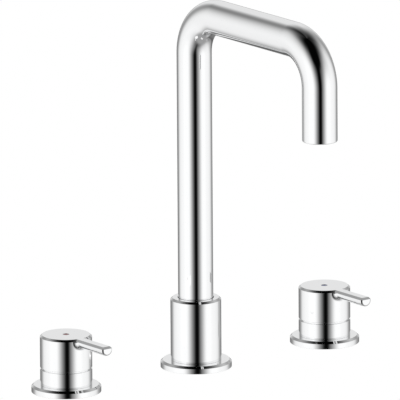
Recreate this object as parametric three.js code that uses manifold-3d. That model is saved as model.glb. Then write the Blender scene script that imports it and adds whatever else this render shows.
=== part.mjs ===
// A widespread bathroom faucet: a tall U-shaped swivel spout between two quarter-turn lever handles.
// Millimetres, +Z up. The origin is on the deck's top surface, on the spout's axis. The user stands
// at -Y, so the spout and both levers point along -Y, with hot at -X and cold at +X.
import * as THREE from "three";
import { mergeVertices } from "three/addons/utils/BufferGeometryUtils.js";
import Module from "manifold-3d";

const wasm = await Module();
wasm.setup();

// Layout on the deck
const HANDLE_OFFSET = 116;
const DECK_THICKNESS = 30;
const GAP = 0.3;

// Flanges that cover the deck holes
const FLANGE_HEIGHT = 5.3;
const FLANGE_CHAMFER = 1.6;
const HANDLE_FLANGE_R = 24.8;
const SPOUT_FLANGE_R = 25.4;
const FLANGE_BORE_R = 14;
const SEAL = { inner: 17.3, outer: 21.7, height: 1.9 };

// Shanks, and what clamps them to the deck
const SHANK_R = 13.2;
const CLAMP_BORE_R = 13.7;
const RUBBER_WASHER = { outer: 21, height: 2 };
const STEEL_WASHER = { outer: 20, height: 1.5 };
const LOCK_NUT = { flats: 36, height: 8, chamfer: 1.6, chamferHeight: 1.2, clear: 0.4 };

// Handles
const BODY_R = 18.5;
const BODY_BORE_R = 16.4;
const JOINT_LINE_Z = 17.2;
const JOINT_GROOVE = { height: 1.4, depth: 1.2 };
const CAP_Z = 41.3;
const TOP_CHAMFER = 1.5;
const CUP_Z = 33;
const BOSS = { radius: 8.5, bottom: 31 };
const LEVER = { reach: 48.8, width: 8.8, height: 6.4, chamfer: 1.5, straight: 0.9 };
const LEVER_END = { chamfer: 0.7, inset: 0.84 };
const LEVER_FILLET = 2.4;
const DOT = { radius: 2, depth: 0.7 };
const HANDLE_SCREW = { z: 36, radius: 2.2, front: 4.9, back: 13.5, holeFront: 3 };
const SCREW_KEY_DEPTH = 2;

// Valve bodies
const SHOULDER = { radius: 15.6, bottom: 8.3, top: 14 };
const NECK = { radius: 12.8, top: 18 };
const CARTRIDGE_BORE_R = 10.2;
const SEAT_Z = -14;
const INLET_R = 4.5;
const VALVE_SHANK_END = -66;
const INLET_NIPPLE = { radius: 10.4, end: -82 };
const SIDE_NIPPLE = { radius: 8.3, bore: 4, z: -55, reach: 27 };
const OUTLET_CHANNEL = { radius: 2.4, offset: 8.5 };

// Ceramic cartridges
const SLEEVE = { outer: 9.2, inner: 7.8, bottom: -10, chamber: 3, waist: 8 };
const SLEEVE_WINDOW = { width: 8, height: 5, z: -0.2 };
const SEAT_SEAL = { inner: 5, outer: 7.2 };
const THREAD_R = 9.8;
const HEX = { flats: 24, bottom: 18.3, top: 23 };
const NOSE = { radius: 7.5, top: 29 };
const STEM = { radius: 4.2, bore: 4.6, top: 38 };
const STEM_SEAL = { inner: 3.5, outer: 4.3, bottom: 11.2, top: 13, play: 0.4 };
const SPLINE = { teeth: 20, outer: 4, root: 3.6, bottom: 30.6, play: 0.32 };
const STOP = { radius: 6, recess: 6.4, bottom: 26, width: 30, swing: 90, play: 3 };
const CLIP = { inner: 3.6, outer: 6.2, z: 29.4, thickness: 0.9, mouth: 70 };
const DISC = { radius: 7.4, thickness: 3, window: 80, windowInner: 2.2, windowOuter: 6 };
const LOWER_DISC_Z = -9.4;
const DRIVER = { width: 4.4, length: 13.6, depth: 1, top: 1 };

// Spout
const TUBE_R = 12.5;
const TUBE_BORE_R = 11.3;
const ARM_Z = 259.5;
const REACH = 145;
const BEND_R = 30;
const OUTLET_Z = 191.4;
const TUBE_BOTTOM_Z = 26.9;
const COLLAR = { radius: 18.1, bore: 15.7, top: 50.7, chamfer: 1.5, lip: 3.1, mouth: 12.9 };
const SOCKET = { radius: 15.3, bore: 10.4, top: 22.7, floor: -6 };
const SPOUT_BORE_R = 6;
const SPOUT_SHANK_END = -62;
const SPIGOT = { radius: 9, end: -72 };
const NIPPLE = { radius: 9.7, bottom: -4, shoulder: 24.7, plug: 11, top: 40 };
const O_RING = { inner: 8.4, outer: 10.05, height: 2, heights: [1, 8] };
const SWIVEL = { half: 60, slotInner: 8.1, z: 16.7, tip: 1.5 };
const SPOUT_SCREW = { radius: 2.25, front: 11.4, back: 17, tipFront: 8.6 };
const SPOUT_SCREW_HOLE = { front: 8, back: 25 };
const GLIDE_RING = { inner: 12.9, outer: 15.4, bottom: 39.5, top: 47.3 };
const TEE = { radius: 12.8, bottom: -92, bore: 9.4, armZ: -82, armR: 8.3, armReach: 27, armBore: 4.5 };

// Aerator in the outlet
const AERATOR = { outer: 11, inner: 9.3, recess: 0.6, height: 11, lip: 8.4, lipHeight: 1 };
const AERATOR_KEY = { width: 3, depth: 0.8 };
const AERATOR_WASHER = { inner: 8, height: 1.8 };
const SCREEN = { radius: 9, thickness: 2.4, pitch: 3.6, hole: 1.65 };

// Facets round a circle, for what shows, for inner pieces, and for small ones
const FINE = 28;
const MEDIUM = 16;
const COARSE = 12;

// Facets along each bend of the tube, and along each quarter of the lever's curves
const BEND_STEPS = 8;
const CURVE_STEPS = 5;

const chrome = { color: 0xd9dcdf, roughness: 0.06, metalness: 1 };
const brass = { color: 0xc2a45a, roughness: 0.35, metalness: 1 };
const steel = { color: 0xa9acaf, roughness: 0.35, metalness: 1 };
const rubber = { color: 0x1b1b1c, roughness: 0.85, metalness: 0 };
const ceramic = { color: 0xeeeae2, roughness: 0.25, metalness: 0 };
const acetal = { color: 0xe9e9e6, roughness: 0.45, metalness: 0 };
const redEnamel = { color: 0xb3202a, roughness: 0.3, metalness: 0 };
const blueEnamel = { color: 0x1f4fa3, roughness: 0.3, metalness: 0 };

const faucet = new THREE.Group();

// Puts one named piece into a group.
function place(group, name, geometry, finish) {
  const mesh = new THREE.Mesh(geometry, new THREE.MeshStandardMaterial(finish));
  mesh.name = name;
  group.add(mesh);
}

// A closed geometry as a solid that can be joined and cut.
function solidOf(geometry) {
  const bare = new THREE.BufferGeometry();
  bare.setAttribute("position", geometry.getAttribute("position"));
  bare.setIndex(geometry.index);
  const merged = mergeVertices(bare, 1e-4);
  const corners = merged.index.array;
  const kept = [];
  for (let i = 0; i < corners.length; i += 3) {
    const [a, b, c] = corners.slice(i, i + 3);
    if (a !== b && b !== c && c !== a) kept.push(a, b, c);
  }
  const mesh = new wasm.Mesh({
    numProp: 3,
    vertProperties: merged.getAttribute("position").array,
    triVerts: new Uint32Array(kept),
  });
  return new wasm.Manifold(mesh);
}

// A solid as a geometry.
function geometryOf(solid) {
  const mesh = solid.getMesh();
  const geometry = new THREE.BufferGeometry();
  geometry.setAttribute("position", new THREE.BufferAttribute(mesh.vertProperties, 3));
  geometry.setIndex(new THREE.BufferAttribute(mesh.triVerts, 1));
  return geometry;
}

// One geometry with others joined to it.
function joined(first, ...others) {
  return geometryOf(others.reduce((sum, g) => sum.add(solidOf(g)), solidOf(first)));
}

// One geometry with others cut out of it.
function cut(first, ...others) {
  return geometryOf(others.reduce((rest, g) => rest.subtract(solidOf(g)), solidOf(first)));
}

// A body turned about Z, from its half section as [radius, height] points.
function turned(outline, segments) {
  const points = outline.map(([r, z]) => new THREE.Vector2(r, z));
  if (THREE.ShapeUtils.isClockWise(points)) points.reverse();
  if (Math.min(...outline.map(([r]) => r)) > 0) points.push(points[0].clone());
  return new THREE.LatheGeometry(points, segments).rotateX(Math.PI / 2);
}

// A plain ring or washer about Z.
function ring(inner, outer, bottom, top, segments) {
  return turned([[inner, bottom], [outer, bottom], [outer, top], [inner, top]], segments);
}

// A plain round bar about Z.
function rod(radius, bottom, top, segments) {
  return turned([[0, bottom], [radius, bottom], [radius, top], [0, top]], segments);
}

// A round bar along +X or, turned by a quarter, along +Y.
function crossRod(radius, start, end, z, segments, alongY = false) {
  const bar = rod(radius, start, end, segments).rotateY(Math.PI / 2);
  if (alongY) bar.rotateZ(Math.PI / 2);
  return bar.translate(0, 0, z);
}

// A flat outline raised from bottom to top.
function prism(shape, bottom, top, curveSegments = 12) {
  const options = { depth: top - bottom, bevelEnabled: false, curveSegments };
  const raised = new THREE.ExtrudeGeometry(shape, options);
  return mergeVertices(raised.deleteAttribute("normal").deleteAttribute("uv")).translate(0, 0, bottom);
}

// A regular outline of so many corners, at alternating radii where two are given.
function starShape(corners, outer, inner = outer) {
  const points = [];
  for (let i = 0; i < corners; i++) {
    const angle = (i / corners) * 2 * Math.PI;
    const r = i % 2 ? inner : outer;
    points.push(new THREE.Vector2(r * Math.cos(angle), r * Math.sin(angle)));
  }
  return new THREE.Shape(points);
}

// A piece of a ring between two radii, centred on an angle and so many degrees wide.
function sectorShape(inner, outer, centre, width) {
  const from = THREE.MathUtils.degToRad(centre - width / 2);
  const to = THREE.MathUtils.degToRad(centre + width / 2);
  const shape = new THREE.Shape();
  shape.absarc(0, 0, outer, from, to, false);
  shape.absarc(0, 0, inner, to, from, true);
  shape.closePath();
  return shape;
}

// A hexagonal prism across two flats.
function hexPrism(flats, bottom, top) {
  return prism(starShape(6, flats / Math.sqrt(3)), bottom, top);
}

// Flange: a low disc with a chamfered rim, and a groove below that holds its seal.
function flangeGeometry(radius) {
  const groove = { inner: SEAL.inner - GAP, outer: SEAL.outer + GAP, top: SEAL.height + GAP };
  return turned([
    [FLANGE_BORE_R, 0],
    [groove.inner, 0],
    [groove.inner, groove.top],
    [groove.outer, groove.top],
    [groove.outer, 0],
    [radius, 0],
    [radius, FLANGE_HEIGHT - FLANGE_CHAMFER],
    [radius - FLANGE_CHAMFER, FLANGE_HEIGHT],
    [FLANGE_BORE_R, FLANGE_HEIGHT],
  ], FINE);
}

// The flange, its seal, and below the deck the rubber washer, steel washer and lock nut.
function addDeckClamp(group, name, flangeRadius) {
  place(group, `${name}_flange`, flangeGeometry(flangeRadius), chrome);
  place(group, `${name}_flange_seal`, ring(SEAL.inner, SEAL.outer, 0, SEAL.height, FINE), rubber);

  const rubberTop = -DECK_THICKNESS;
  const rubberBottom = rubberTop - RUBBER_WASHER.height;
  const rubberRing = ring(CLAMP_BORE_R, RUBBER_WASHER.outer, rubberBottom, rubberTop, MEDIUM);
  place(group, `${name}_rubber_washer`, rubberRing, rubber);

  const steelTop = rubberBottom - GAP;
  const steelBottom = steelTop - STEEL_WASHER.height;
  const steelRing = ring(CLAMP_BORE_R, STEEL_WASHER.outer, steelBottom, steelTop, MEDIUM);
  place(group, `${name}_steel_washer`, steelRing, steel);

  const nutTop = steelBottom - GAP;
  const nutBottom = nutTop - LOCK_NUT.height;
  const corner = LOCK_NUT.flats / Math.sqrt(3);
  const chamferCone = turned([
    [0, nutBottom],
    [corner - LOCK_NUT.chamfer, nutBottom],
    [corner + LOCK_NUT.clear, nutBottom + LOCK_NUT.chamferHeight],
    [corner + LOCK_NUT.clear, nutTop - LOCK_NUT.chamferHeight],
    [corner - LOCK_NUT.chamfer, nutTop],
    [0, nutTop],
  ], MEDIUM);
  const hexBar = solidOf(hexPrism(LOCK_NUT.flats, nutBottom, nutTop));
  const nut = geometryOf(hexBar.intersect(solidOf(chamferCone)));
  const hole = rod(CLAMP_BORE_R, nutBottom - 1, nutTop + 1, MEDIUM);
  place(group, `${name}_lock_nut`, cut(nut, hole), brass);
}

// Valve body: the threaded shank, a shoulder that carries the shroud, the bore for the cartridge,
// the inlet nipple below and the outlet nipple that faces the spout.
function valveBodyGeometry(towardSpout) {
  const casting = turned([
    [INLET_R, INLET_NIPPLE.end],
    [INLET_NIPPLE.radius, INLET_NIPPLE.end],
    [INLET_NIPPLE.radius, VALVE_SHANK_END],
    [SHANK_R, VALVE_SHANK_END],
    [SHANK_R, SHOULDER.bottom],
    [SHOULDER.radius, SHOULDER.bottom],
    [SHOULDER.radius, SHOULDER.top],
    [NECK.radius, SHOULDER.top],
    [NECK.radius, NECK.top],
    [CARTRIDGE_BORE_R, NECK.top],
    [CARTRIDGE_BORE_R, SEAT_Z],
    [INLET_R, SEAT_Z],
  ], MEDIUM);
  const { radius, bore, z, reach } = SIDE_NIPPLE;
  const nipple = crossRod(radius, INLET_R + 2, reach, z, COARSE);
  const nippleBore = crossRod(bore, OUTLET_CHANNEL.offset, reach + 1, z, COARSE);
  const channel = rod(OUTLET_CHANNEL.radius, z, SEAT_Z + 1, COARSE);
  channel.translate(OUTLET_CHANNEL.offset, 0, 0);
  const turn = towardSpout > 0 ? 0 : Math.PI;
  return cut(joined(casting, nipple), nippleBore, channel).rotateZ(turn);
}

// Shroud: the fixed lower ring of the handle, with a ledge inside that the valve body's shoulder
// holds down, and a step at the top that leaves a groove under the turning handle.
function shroudGeometry() {
  const bottom = FLANGE_HEIGHT + GAP;
  const ledge = SHOULDER.bottom - GAP;
  const grooveBottom = JOINT_LINE_Z - JOINT_GROOVE.height / 2;
  const top = JOINT_LINE_Z + JOINT_GROOVE.height / 2 - GAP;
  return turned([
    [FLANGE_BORE_R, bottom],
    [BODY_R, bottom],
    [BODY_R, grooveBottom],
    [BODY_R - JOINT_GROOVE.depth, grooveBottom],
    [BODY_R - JOINT_GROOVE.depth, top],
    [BODY_BORE_R, top],
    [BODY_BORE_R, ledge],
    [FLANGE_BORE_R, ledge],
  ], FINE);
}

// Cartridge body: a sleeve with two side windows, a threaded waist, a hexagon and a nose whose
// recess stops the stem at both ends of its quarter turn.
function cartridgeGeometry(turnSign) {
  const shell = turned([
    [STEM.bore, SLEEVE.chamber],
    [SLEEVE.inner, SLEEVE.chamber],
    [SLEEVE.inner, SLEEVE.bottom],
    [SLEEVE.outer, SLEEVE.bottom],
    [SLEEVE.outer, SLEEVE.waist],
    [THREAD_R, SLEEVE.waist],
    [THREAD_R, HEX.bottom],
    [NOSE.radius, HEX.bottom],
    [NOSE.radius, NOSE.top],
    [STEM.bore, NOSE.top],
  ], COARSE);
  const hexHead = cut(hexPrism(HEX.flats, HEX.bottom, HEX.top), rod(STEM.bore, 0, NOSE.top, COARSE));
  const window = new THREE.BoxGeometry(4 * SLEEVE.outer, SLEEVE_WINDOW.width, SLEEVE_WINDOW.height);
  window.translate(0, 0, SLEEVE_WINDOW.z);
  const stopWidth = STOP.width + STOP.swing + 2 * STOP.play;
  const stopCentre = 90 + (turnSign * STOP.swing) / 2;
  const recess = prism(sectorShape(2, STOP.recess, stopCentre, stopWidth), STOP.bottom, NOSE.top + 1);
  return cut(joined(shell, hexHead), window, recess);
}

// Stem: a driver bar at its foot, grooves for the seal and the clip, a stop lug and the splined top.
function stemGeometry() {
  const foot = LOWER_DISC_Z + 2 * DISC.thickness + GAP - DRIVER.depth + GAP;
  const grooveBottom = STEM_SEAL.bottom - STEM_SEAL.play;
  const grooveTop = STEM_SEAL.top + STEM_SEAL.play;
  const grooveFloor = STEM_SEAL.inner - GAP;
  const shaft = turned([
    [0, 0],
    [STEM.radius, 0],
    [STEM.radius, grooveBottom],
    [grooveFloor, grooveBottom],
    [grooveFloor, grooveTop],
    [STEM.radius, grooveTop],
    [STEM.radius, CLIP.z - GAP],
    [CLIP.inner - GAP, CLIP.z - GAP],
    [CLIP.inner - GAP, SPLINE.bottom],
    [0, SPLINE.bottom],
  ], COARSE);
  const bar = new THREE.BoxGeometry(DRIVER.length, DRIVER.width, DRIVER.top - foot);
  bar.translate(0, 0, (DRIVER.top + foot) / 2);
  const lug = prism(sectorShape(2, STOP.radius, 90, STOP.width), STOP.bottom + GAP, NOSE.top - GAP, 4);
  const splineShape = starShape(2 * SPLINE.teeth, SPLINE.outer, SPLINE.root);
  const splines = prism(splineShape, SPLINE.bottom - 0.1, STEM.top);
  return joined(shaft, bar, lug, splines);
}

// A ceramic disc with two opposite windows, which line up with its mate's after a quarter turn.
function discGeometry(bottom, windowAngle, slotted) {
  const top = bottom + DISC.thickness;
  const windows = [0, 180].map((side) => prism(
    sectorShape(DISC.windowInner, DISC.windowOuter, windowAngle + side, DISC.window),
    bottom - 1,
    top + 1,
    5,
  ));
  const slot = new THREE.BoxGeometry(2 * DISC.radius + 2, DRIVER.width + 2 * GAP, 2 * DRIVER.depth);
  slot.translate(0, 0, top);
  return cut(rod(DISC.radius, bottom, top, COARSE), ...windows, ...(slotted ? [slot] : []));
}

// Spring clip: an open ring that sits in the stem's groove.
function clipGeometry() {
  const arc = sectorShape(CLIP.inner, CLIP.outer, -90, 360 - CLIP.mouth);
  return prism(arc, CLIP.z, CLIP.z + CLIP.thickness, 8);
}

// Half of the lever's underside, from its side to its middle, as [x, depth below the top face]: a
// short straight side and a quarter of an ellipse.
function bellyPoints(halfWidth, height) {
  const shoulder = LEVER.chamfer + LEVER.straight;
  const points = [[halfWidth, shoulder]];
  for (let i = 1; i <= CURVE_STEPS; i++) {
    const angle = (i / CURVE_STEPS) * (Math.PI / 2);
    points.push([halfWidth * Math.cos(angle), shoulder + (height - shoulder) * Math.sin(angle)]);
  }
  return points;
}

// A ring of points across the lever at a distance from the cap's axis, from the right half of its
// section. The bottom point, on the middle line, is not mirrored.
function ringAt(distance, rightHalf) {
  const leftHalf = rightHalf.slice(0, -1).reverse().map(([x, depth]) => [-x, depth]);
  return [...rightHalf, ...leftHalf].map(([x, depth]) => [x, -distance, CAP_Z - depth]);
}

// A solid skinned over rings of equally many points, with both ends closed.
function lofted(rings) {
  const count = rings[0].length;
  const corners = rings.flat(2);
  const faces = [];
  for (let k = 0; k + 1 < rings.length; k++) {
    for (let i = 0; i < count; i++) {
      const a = k * count + i;
      const b = k * count + ((i + 1) % count);
      faces.push(a, b + count, b, a, a + count, b + count);
    }
  }
  const last = (rings.length - 1) * count;
  for (let i = 1; i + 1 < count; i++) {
    faces.push(0, i, i + 1);
    faces.push(last, last + i + 1, last + i);
  }
  const geometry = new THREE.BufferGeometry();
  geometry.setAttribute("position", new THREE.Float32BufferAttribute(corners, 3));
  geometry.setIndex(faces);
  return geometry;
}

// Lever: a D section with a chamfer along both top edges. Its flat end has the same chamfer at the
// top, and a small one round its sides and its underside.
function leverGeometry() {
  const halfWidth = LEVER.width / 2;
  const section = (inset) => [
    [halfWidth - LEVER.chamfer, 0],
    [halfWidth - inset, LEVER.chamfer - inset],
    ...bellyPoints(halfWidth - inset, LEVER.height - inset),
  ];
  const bar = lofted([
    ringAt(BODY_R - 6, section(0)),
    ringAt(LEVER.reach - LEVER_END.chamfer, section(0)),
    ringAt(LEVER.reach, section(LEVER_END.inset)),
  ]);
  const size = 4 * LEVER.chamfer;
  const out = size / Math.sqrt(8) - LEVER.chamfer / 2;
  const topCorner = new THREE.BoxGeometry(LEVER.width + 2, size, size).rotateX(Math.PI / 4);
  return cut(bar, topCorner.translate(0, -LEVER.reach - out, CAP_Z + out));
}

// Fillet round the lever's root, below the chamfers. It grows from the lever's own section to meet
// the cap's wall, and the cap's and the lever's chamfers, carried on outwards, trim its top.
function leverFilletGeometry() {
  const halfWidth = LEVER.width / 2;
  const section = (grow) => [
    [halfWidth + grow, 0],
    ...bellyPoints(halfWidth + grow, LEVER.height + grow),
  ];
  const root = BODY_R - 0.5;
  const rings = [ringAt(BODY_R - 6, section(LEVER_FILLET))];
  for (let i = 0; i < CURVE_STEPS; i++) {
    const angle = (i / CURVE_STEPS) * (Math.PI / 2);
    const out = LEVER_FILLET * (1 - Math.cos(angle));
    rings.push(ringAt(root + out, section(LEVER_FILLET * (1 - Math.sin(angle)))));
  }
  rings.push(ringAt(root + LEVER_FILLET, section(-0.1)));

  const reach = 2 * LEVER_FILLET;
  const cone = turned([
    [0, CUP_Z - 5],
    [BODY_R + reach, CUP_Z - 5],
    [BODY_R + reach, CAP_Z - LEVER.chamfer - reach],
    [BODY_R, CAP_Z - LEVER.chamfer],
    [0, CAP_Z - LEVER.chamfer],
  ], FINE);
  const roofSection = [
    [halfWidth, LEVER.chamfer],
    [halfWidth + reach, LEVER.chamfer + reach],
    [halfWidth + reach, CAP_Z - CUP_Z + 5],
    [0, CAP_Z - CUP_Z + 5],
  ];
  const roof = lofted([ringAt(0, roofSection), ringAt(BODY_R + reach, roofSection)]);
  const trimmed = solidOf(lofted(rings)).intersect(solidOf(cone).add(solidOf(roof)));
  return geometryOf(trimmed);
}

// Handle: one casting of the hub, cup-shaped below, and the lever, with a splined socket and, at the
// back, the hole for its grub screw.
function handleGeometry() {
  const bottom = JOINT_LINE_Z + JOINT_GROOVE.height / 2;
  const hub = turned([
    [0, CAP_Z],
    [BODY_R - TOP_CHAMFER, CAP_Z],
    [BODY_R, CAP_Z - TOP_CHAMFER],
    [BODY_R, bottom],
    [BODY_BORE_R, bottom],
    [BODY_BORE_R, CUP_Z],
    [BOSS.radius, CUP_Z],
    [BOSS.radius, BOSS.bottom],
    [0, BOSS.bottom],
  ], FINE);
  const play = SPLINE.play;
  const socketShape = starShape(2 * SPLINE.teeth, SPLINE.outer + play, SPLINE.root + play);
  const socket = prism(socketShape, BOSS.bottom - 1, STEM.top + GAP);
  const pocket = rod(DOT.radius + GAP, CAP_Z - DOT.depth - GAP, CAP_Z + 1, COARSE);
  const { radius, holeFront, z } = HANDLE_SCREW;
  const screwHole = crossRod(radius + GAP, holeFront, BODY_R + 1, z, COARSE, true);
  return cut(joined(hub, leverGeometry(), leverFilletGeometry()), socket, pocket, screwHole);
}

// A grub screw along +Y with a hexagon socket in its outer end.
function grubScrewGeometry(radius, front, back, z, tipRadius, tipFront) {
  const body = turned([
    [0, tipFront],
    [tipRadius, tipFront],
    [tipRadius, front],
    [radius, front],
    [radius, back],
    [0, back],
  ], COARSE);
  const key = hexPrism(radius, back - SCREW_KEY_DEPTH, back + 1);
  return cut(body, key).rotateX(-Math.PI / 2).translate(0, 0, z);
}

// One handle with its valve, at its place in the row. turnSign is the way that its lever opens.
function addHandle(name, x, turnSign, enamel) {
  const group = new THREE.Group();
  group.position.set(x, 0, 0);
  faucet.add(group);

  addDeckClamp(group, name, HANDLE_FLANGE_R);
  place(group, `${name}_valve_body`, valveBodyGeometry(-Math.sign(x)), brass);
  place(group, `${name}_shroud`, shroudGeometry(), chrome);

  place(group, `${name}_cartridge_body`, cartridgeGeometry(turnSign), brass);
  const seal = ring(SEAT_SEAL.inner, SEAT_SEAL.outer, SEAT_Z + GAP, LOWER_DISC_Z - GAP, COARSE);
  place(group, `${name}_seat_seal`, seal, rubber);
  place(group, `${name}_lower_disc`, discGeometry(LOWER_DISC_Z, 0, false), ceramic);
  const upperDiscZ = LOWER_DISC_Z + DISC.thickness + GAP;
  place(group, `${name}_upper_disc`, discGeometry(upperDiscZ, 90, true), ceramic);
  place(group, `${name}_stem`, stemGeometry(), brass);
  const { inner, outer, bottom, top } = STEM_SEAL;
  place(group, `${name}_stem_o_ring`, ring(inner, outer, bottom, top, COARSE), rubber);
  place(group, `${name}_stem_clip`, clipGeometry(), steel);

  place(group, `${name}_handle`, handleGeometry(), chrome);
  const { radius, front, back, z } = HANDLE_SCREW;
  place(group, `${name}_handle_screw`, grubScrewGeometry(radius, front, back, z, radius, front), steel);
  place(group, `${name}_index_dot`, rod(DOT.radius, CAP_Z - DOT.depth, CAP_Z, COARSE), enamel);
}

// The tube's centreline: riser, bend, arm, bend, outlet leg. Its parameter gives each straight one
// step and each bend BEND_STEPS.
class SpoutPath extends THREE.Curve {
  constructor() {
    super();
    this.corners = [
      new THREE.Vector3(0, 0, TUBE_BOTTOM_Z),
      new THREE.Vector3(0, 0, ARM_Z - BEND_R),
      new THREE.Vector3(0, -BEND_R, ARM_Z),
      new THREE.Vector3(0, BEND_R - REACH, ARM_Z),
      new THREE.Vector3(0, -REACH, ARM_Z - BEND_R),
      new THREE.Vector3(0, -REACH, OUTLET_Z),
    ];
    this.steps = [1, BEND_STEPS, 1, BEND_STEPS, 1];
    this.total = this.steps.reduce((a, b) => a + b);
  }

  // Which piece of the line a parameter lies on, and how far along that piece.
  locate(t) {
    let step = t * this.total;
    let piece = 0;
    while (piece < 4 && step > this.steps[piece]) {
      step -= this.steps[piece];
      piece += 1;
    }
    return { piece, share: step / this.steps[piece] };
  }

  getPoint(t, target = new THREE.Vector3()) {
    const { piece, share } = this.locate(t);
    if (piece % 2 === 0) {
      return target.lerpVectors(this.corners[piece], this.corners[piece + 1], share);
    }
    const centreY = piece === 1 ? -BEND_R : BEND_R - REACH;
    const start = piece === 1 ? 0 : Math.PI / 2;
    const angle = start + (share * Math.PI) / 2;
    const y = centreY + BEND_R * Math.cos(angle);
    return target.set(0, y, ARM_Z - BEND_R + BEND_R * Math.sin(angle));
  }

  getTangent(t, target = new THREE.Vector3()) {
    const { piece, share } = this.locate(t);
    const quarters = piece % 2 === 0 ? piece / 2 : (piece - 1) / 2 + share;
    const angle = (quarters * Math.PI) / 2;
    return target.set(0, -Math.sin(angle), Math.cos(angle));
  }

  getPointAt(u, target) {
    return this.getPoint(u, target);
  }

  getTangentAt(u, target) {
    return this.getTangent(u, target);
  }
}

// Tube: one round tube bent twice, open at both ends.
function tubeGeometry() {
  const section = new THREE.Shape();
  section.absarc(0, 0, TUBE_R, 0, 2 * Math.PI, false);
  const bore = new THREE.Path();
  bore.absarc(0, 0, TUBE_BORE_R, 0, 2 * Math.PI, true);
  section.holes.push(bore);
  const path = new SpoutPath();
  const options = { steps: path.total, curveSegments: 10, extrudePath: path };
  return new THREE.ExtrudeGeometry(section, options);
}

// The hole at the back for the retaining screw, through the collar and the shank's socket.
function retainingScrewHole() {
  const { front, back } = SPOUT_SCREW_HOLE;
  return crossRod(SPOUT_SCREW.radius + GAP, front, back, SWIVEL.z, COARSE, true);
}

// Collar: the fixed sleeve round the foot of the tube.
function collarGeometry() {
  const sleeve = turned([
    [COLLAR.bore, FLANGE_HEIGHT + GAP],
    [COLLAR.radius, FLANGE_HEIGHT + GAP],
    [COLLAR.radius, COLLAR.top - COLLAR.chamfer],
    [COLLAR.radius - COLLAR.chamfer, COLLAR.top],
    [COLLAR.mouth, COLLAR.top],
    [COLLAR.mouth, COLLAR.top - COLLAR.lip],
    [COLLAR.bore, COLLAR.top - COLLAR.lip],
  ], FINE);
  return cut(sleeve, retainingScrewHole());
}

// Spout shank: the threaded shank with the socket that the swivel nipple turns in.
function spoutShankGeometry() {
  const casting = turned([
    [SPOUT_BORE_R, SPIGOT.end],
    [SPIGOT.radius, SPIGOT.end],
    [SPIGOT.radius, SPOUT_SHANK_END],
    [SHANK_R, SPOUT_SHANK_END],
    [SHANK_R, FLANGE_HEIGHT + GAP],
    [SOCKET.radius, FLANGE_HEIGHT + GAP],
    [SOCKET.radius, SOCKET.top],
    [SOCKET.bore, SOCKET.top],
    [SOCKET.bore, SOCKET.floor],
    [SPOUT_BORE_R, SOCKET.floor],
  ], MEDIUM);
  return cut(casting, retainingScrewHole());
}

// Swivel nipple: closes the foot of the tube, carries two O-rings, and has a slot at the back that
// the retaining screw's tip runs in, as long as the swivel's travel.
function swivelNippleGeometry() {
  const outline = [[SPOUT_BORE_R, NIPPLE.bottom], [NIPPLE.radius, NIPPLE.bottom]];
  for (const z of O_RING.heights) {
    const bottom = z - GAP;
    const top = z + O_RING.height + GAP;
    const floor = O_RING.inner - GAP;
    outline.push([NIPPLE.radius, bottom], [floor, bottom], [floor, top], [NIPPLE.radius, top]);
  }
  outline.push(
    [NIPPLE.radius, NIPPLE.shoulder],
    [TUBE_R, NIPPLE.shoulder],
    [TUBE_R, TUBE_BOTTOM_Z - GAP],
    [NIPPLE.plug, TUBE_BOTTOM_Z - GAP],
    [NIPPLE.plug, NIPPLE.top],
    [SPOUT_BORE_R, NIPPLE.top],
  );
  const tipHalfAngle = THREE.MathUtils.radToDeg(Math.asin((SWIVEL.tip + GAP) / SWIVEL.slotInner));
  const slotWidth = 2 * (SWIVEL.half + tipHalfAngle);
  const slotShape = sectorShape(SWIVEL.slotInner, NIPPLE.radius + 2, 90, slotWidth);
  const slot = prism(slotShape, SWIVEL.z - SWIVEL.tip - GAP, SWIVEL.z + SWIVEL.tip + GAP, 12);
  return cut(turned(outline, COARSE), slot);
}

// Tee below the spout's shank, with a nipple on each side for the hoses from the two valves.
function teeGeometry() {
  const top = SPOUT_SHANK_END - GAP;
  const block = turned([
    [0, TEE.bottom],
    [TEE.radius, TEE.bottom],
    [TEE.radius, top],
    [TEE.bore, top],
    [TEE.bore, SPIGOT.end - GAP],
    [0, SPIGOT.end - GAP],
  ], MEDIUM);
  const arms = crossRod(TEE.armR, -TEE.armReach, TEE.armReach, TEE.armZ, COARSE);
  const armBore = crossRod(TEE.armBore, -TEE.armReach - 1, TEE.armReach + 1, TEE.armZ, COARSE);
  const riser = rod(TEE.armBore, TEE.armZ, SPIGOT.end, COARSE);
  return cut(joined(block, arms), armBore, riser);
}

// Aerator housing: a threaded ring in the tube's end, with two slots for its key.
function aeratorHousingGeometry() {
  const bottom = OUTLET_Z + AERATOR.recess;
  const body = turned([
    [AERATOR.lip, bottom],
    [AERATOR.outer, bottom],
    [AERATOR.outer, bottom + AERATOR.height],
    [AERATOR.inner, bottom + AERATOR.height],
    [AERATOR.inner, bottom + AERATOR.lipHeight],
    [AERATOR.lip, bottom + AERATOR.lipHeight],
  ], MEDIUM);
  const keySlots = new THREE.BoxGeometry(3 * AERATOR.outer, AERATOR_KEY.width, 2 * AERATOR_KEY.depth);
  keySlots.translate(0, 0, bottom);
  return cut(body, keySlots);
}

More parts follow.
